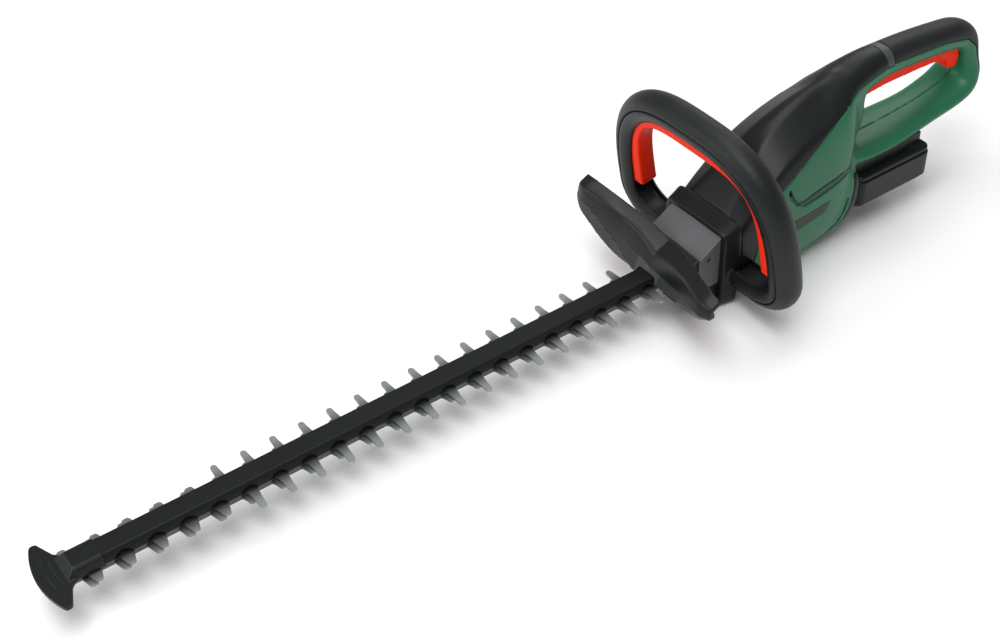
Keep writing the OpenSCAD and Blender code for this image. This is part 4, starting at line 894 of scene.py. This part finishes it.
def bow_ring(t, side):
    """The bow's hand side is squarer than the arch. An angle below 0 asks for the flat end."""
    if t < 0:
        seat, hand = (LOOP_W + BOW_SEAT, BOW_END + 0.5), (LOOP_W + BOW_IN, BOW_END + 0.5)
    else:
        y, up, turn = loop_station(t)
        seat = (y + BOW_SEAT * math.cos(turn), up + BOW_SEAT * math.sin(turn))
        hand = ((LOOP_W + BOW_IN) * max(math.cos(t), 0) ** (2 / BOW_E),
                LOOP_MID + (LOOP_RISE + BOW_IN) * math.sin(t) ** (2 / BOW_E))
    ring = []
    for share, depth in bow_outline():
        across, up = [a + (b - a) * share for a, b in zip(seat, hand)]
        ring.append(leaned(side * across, up, depth))
    return ring


loop_grip = bar("loop_tube", [ring_at(st, grip_outline()) for st in GRIP_PATH])
loop_frame = bar("handle_bracket", [ring_at(st, frame_outline()) for st in FRAME_PATH])
switch_bow = bar("bow", [bow_ring(math.radians(t), -1) for t in BOW_TURNS] +
                 [bow_ring(math.radians(t), 1) for t in reversed(BOW_TURNS[:-1])])

# The collar joins the loop's foot to the body's front
COLLAR_E = 9  # squareness
CASE_ROOM = [(-50, 20), (-50, 59), (-20, 74), (15, 75.5), (38, 61), (38, 6.9), (0.4, 6.9)]
collar = bar("collar", [
    oval((-1, 45, 0, BODY_W + 0.2, 40.6, 46.2, COLLAR_E)),
    oval((-0.4, 44.9, 0, BODY_W + 0.6, 41, 46.2, COLLAR_E)),
    oval((14.2, 42.1, 0, BODY_W - 2.3, 38.6, 43.3, COLLAR_E)),
    oval((15, 42, 0, BODY_W - 2.9, 38, 43.2, COLLAR_E)),
])
carve(loop_frame, collar, "UNION")
carve(loop_frame, block("ground", (-60, -100, -40), (60, 100, 0)))
carve(loop_frame, block("body room", (-40, -BODY_W - 0.7, -5), (-1.05, BODY_W + 0.7, 60)))
carve(loop_frame, slab("case room", CASE_ROOM, -33.1, 33.1))
soften(loop_frame, 0.9, 3, 0.6)
fit(loop_frame, "trimmer", SHELF["black_shell"], "loop_frame")
soften(loop_grip, 0.9, 3, 0.55)
fit(loop_grip, "trimmer", SHELF["soft_grip"], "loop_grip")
finish_modifier(switch_bow, "BEVEL", width=0.6 / 1000, segments=2, limit_method="ANGLE",
                angle_limit=math.radians(40))
fit(switch_bow, "bow", SHELF["red_plastic"], "switch_bow", angle=40)

# --------------------------------------------------------------- hand guard
# y, then x and z of the lower edge, the crease, the front ridge and the rear top edge
GUARD = [
    (0, 70, 39, 65, 47, 60, 58, 47, 64),
    (20, 70.2, 39.3, 64.5, 51, 60, 66, 49, 70.5),
    (42, 70.5, 40, 65, 56, 62.5, 72, 53, 76),
    (58, 73.5, 48.5, 68, 62, 66.5, 77, 57.5, 81.5),
    (72, 75, 57.5, 71, 67, 69.5, 80, 60.5, 85),
    (86, 75.5, 66.5, 73, 71.5, 71.5, 83, 62.5, 87),
    (97, 70.5, 74, 70, 76, 68.5, 83, 62, 86),
]
GUARD_T = 5
GUARD_W = 97
GUARD_LEAD = 14  # how far the left wing's tip would stand forward, and stands lower
GUARD_DROP = 13
LEAD_START = 42  # it runs straight up to here, and then turns forward
LEAD_RUN = 69
RIBS = 6
RIB_PITCH = 2.3
RIB_TOP = 1.6  # first groove, down from the crease
RIB_START = 14
RIB_END = 76
RIB_STEP = 8
RIB_OUTLINE = ((-0.4, -1.4), (0.4, -1.4), (0.55, 2), (-0.55, 2))
BRACKET = [(37.2, 25), (62, 25), (62, 47), (56, 51), (37.2, 61)]
BRACKET_FRONT = 62
RAIL_ROOM = [(-12.1, 34), (-12.1, 40), (-9.9, 43.4), (9.9, 43.4), (12.1, 40), (12.1, 34)]


def swung(st):
    """The left wing stands further forward and lower than the right one."""
    wing, tip = st[0] / GUARD_W, max(0, st[0] - LEAD_START) / LEAD_RUN
    shift = (GUARD_LEAD, -GUARD_DROP)
    return (st[0], *[value + shift[k % 2] * (tip if k < 2 else wing)
                     for k, value in enumerate(st[1:])])


def beyond(start, end, by):
    """The end of a line drawn out a little further."""
    share = 1 + by / math.dist(start, end)
    return tuple(a + (b - a) * share for a, b in zip(start, end))


def guard_ring(st, side):
    """Outline of the guard's wall at one place across: a straight face, and a round lip above."""
    half = GUARD_T / 2
    low, crease, ridge, top = [(st[1 + 2 * k] - half, st[2 + 2 * k]) for k in range(4)]
    low = beyond(crease, low, half)
    face = [tuple(a + (b - a) * k / 5 for a, b in zip(low, crease)) for k in range(5)]
    shoulder = tuple(a + (b - a) * 0.22 for a, b in zip(ridge, top))
    lip = tuple(a + (b - a) * 0.8 for a, b in zip(crease, ridge))
    path = face + eased([crease, lip, shoulder, beyond(ridge, top, half)], 5)
    front, rear = [], []
    for k in range(len(path)):
        a, b = path[max(k - 1, 0)], path[min(k + 1, len(path) - 1)]
        dx, dz = b[0] - a[0], b[1] - a[1]
        size = math.hypot(dx, dz)
        x, z = path[k]
        front.append((x + dz / size * half, side * st[0], z - dx / size * half))
        rear.append((x - dz / size * half, side * st[0], z + dx / size * half))
    return front + rear[::-1]


def rib_ring(st, side, down):
    """Outline of a groove's cutting tool at one place across, some way down from the crease."""
    low, crease = (st[1], st[2]), (st[3], st[4])
    size = math.dist(low, crease)
    ux, uz = (crease[0] - low[0]) / size, (crease[1] - low[1]) / size
    ring = []
    for along, out in RIB_OUTLINE:
        u, n = size - down + along, GUARD_T / 2 + out
        x = low[0] - GUARD_T / 2 + ux * u + uz * n
        ring.append((x, side * st[0], low[1] + uz * u - ux * n))
    return ring


right_wing = eased(GUARD, 5)
left_wing = eased([swung(st) for st in GUARD], 5)


def face_painted_reflection(x, y, z):
    """1 on the guard's straight face, which a painted reflection makes lighter, 0 on its lip and
    behind it.
    """
    wing = left_wing if y > 0 else right_wing
    crease = next((st[4] for st in wing if st[0] >= abs(y)), wing[-1][4])
    return crease + 0.5 - z if x > BRACKET_FRONT else 0


# Wall, then the bracket that holds it, then room for the rail, the gear block's nose and the blades
hand_guard = bar("guard", [guard_ring(st, -1) for st in reversed(right_wing[1:])] +
                 [guard_ring(st, 1) for st in left_wing])
carve(hand_guard, slab("bracket", BRACKET, -32, 32), "UNION")
soften(hand_guard, 0.9, 3, 0.6)
carve(hand_guard, slab("rail room", RAIL_ROOM, 33, 90, "x"))
carve(hand_guard, block("nose room", (30, -17.1, 7), (60.1, 17.1, 46.4)))
carve(hand_guard, block("blade room", (50, -14.6, 23), (90, 14.6, 36)))
# Ribs are cut last, since the skin's grain would close them. Each is shorter than the one above.
for side, wing in ((-1, right_wing), (1, left_wing)):
    for k in range(RIBS):
        run = [st for st in wing if RIB_START < st[0] < RIB_END - RIB_STEP * k]
        down = RIB_TOP + RIB_PITCH * k
        carve(hand_guard, bar("rib", [rib_ring(st, side, down) for st in run]))
# The guard's straight face is painted lighter, a painted reflection on one material
mark_painted_shading(hand_guard, face_painted_reflection)
fit(hand_guard, "trimmer", SHELF["guard_black"], "hand_guard", angle=45)

# ------------------------------------------------- cast and moulded housings
CROWN_REAR = 12
CROWN_FOOT = 55
CROWN_HALF_W = 33
CROWN_RISE = 1.8
CROWN_BLEND = 4


def crowned(piece):
    """The gear block's sloping top rises a little towards its middle line."""
    for v in piece.data.vertices:
        x, y, z = v.co * 1000
        if x > CROWN_REAR and z > CROWN_FOOT:
            blend = min(1, (z - CROWN_FOOT) / CROWN_BLEND)
            v.co.z += CROWN_RISE * (1 - abs(y) / CROWN_HALF_W) * blend / 1000


for node, name, grain in (
    ("gear_case", "gear_block", 0.8),
    ("gear_case_cover", "gear_lid", 0.8),
    ("blade_rail", "rail", 0.7),
    ("tip_guard", "tip_shield", 0.5),
    ("rear_trigger", "trigger_bar", 0.6),
    ("pack_lower_shell", "pack_tray", 0.8),
    ("pack_upper_shell", "pack_lid", 0.8),
    ("release_button", "pack_button", 0.4),
):
    row = next(r for r in frame["record"]["subparts"] if r["node"] == node)
    body = next(b for b, ns in frame["record"]["behaviour"]["bodies"].items() if node in ns)
    piece = from_cad(node, name)
    soften(piece, grain, 3, 0.5)
    if node == "gear_case":
        crowned(piece)
    look = "rail_black" if node == "blade_rail" else row["material_slot"]
    fit(piece, body, SHELF[look], node)

# ------------------------------------------------------------------- studio
FLOOR_GAP = 0.0006  # keeps the floor clear of the sole
bpy.ops.object.select_all(action="DESELECT")
bpy.ops.mesh.primitive_plane_add(size=14, location=(0, 0, -FLOOR_GAP))
floor = bpy.context.object
floor.name = "floor"
paper = Finish("pale floor")
paper.wear("Base_Color", (0.93, 0.93, 0.93))
paper.wear("Roughness", 0.8)
floor.data.materials.append(paper.material)

world = bpy.data.worlds.new("studio")
bpy.context.scene.world = world
world.use_nodes = True
sky = world.node_tree.nodes["Background"].inputs
sky["Color"].default_value = (1, 1, 1, 1)
sky["Strength"].default_value = 0.35


def softbox(name, place, aim, size, power):
    """A rectangular lamp turned towards a place, with its power in watts."""
    lamp = bpy.data.lights.new(name, "AREA")
    lamp.shape = "RECTANGLE"
    lamp.size, lamp.size_y = size
    lamp.energy = power
    body = bpy.data.objects.new(name, lamp)
    body.location = place
    body.rotation_mode = "QUATERNION"
    body.rotation_quaternion = (Vector(aim) - Vector(place)).to_track_quat("-Z", "Y")
    bpy.context.collection.objects.link(body)


softbox("key", (1.0, 0.7, 2.4), (0.1, 0, 0.05), (1.4, 1.2), 34)
softbox("top", (0.0, -0.5, 2.6), (0.1, 0, 0.05), (2.2, 1.2), 27)
softbox("rim", (-1.8, -1.2, 1.6), (-0.1, 0, 0.1), (1.2, 1.0), 10)
softbox("front", (2.4, -0.9, 1.2), (0.05, 0, 0.1), (1.4, 1.2), 22)

# The camera stands off from its target by an azimuth and an elevation, and is rolled a little
AZIMUTH, ELEVATION, ROLL = math.radians(146.13), math.radians(41.06), math.radians(-2.36)
TARGET = Vector((0.1991, -0.0378, 0.032))
DISTANCE = 1.2917
back = Vector((
    math.sin(AZIMUTH) * math.cos(ELEVATION), -math.cos(AZIMUTH) * math.cos(ELEVATION),
    math.sin(ELEVATION)))
lens = bpy.data.cameras.new("camera")
lens.lens = 54.3
lens.sensor_width = 36
camera = bpy.data.objects.new("camera", lens)
camera.location = TARGET + back * DISTANCE
camera.rotation_mode = "QUATERNION"
camera.rotation_quaternion = (-back).to_track_quat("-Z", "Y") @ Quaternion((0, 0, 1), ROLL)
bpy.context.collection.objects.link(camera)
bpy.context.scene.camera = camera
bpy.context.scene.view_settings.view_transform = "Standard"

low, high = cad_box
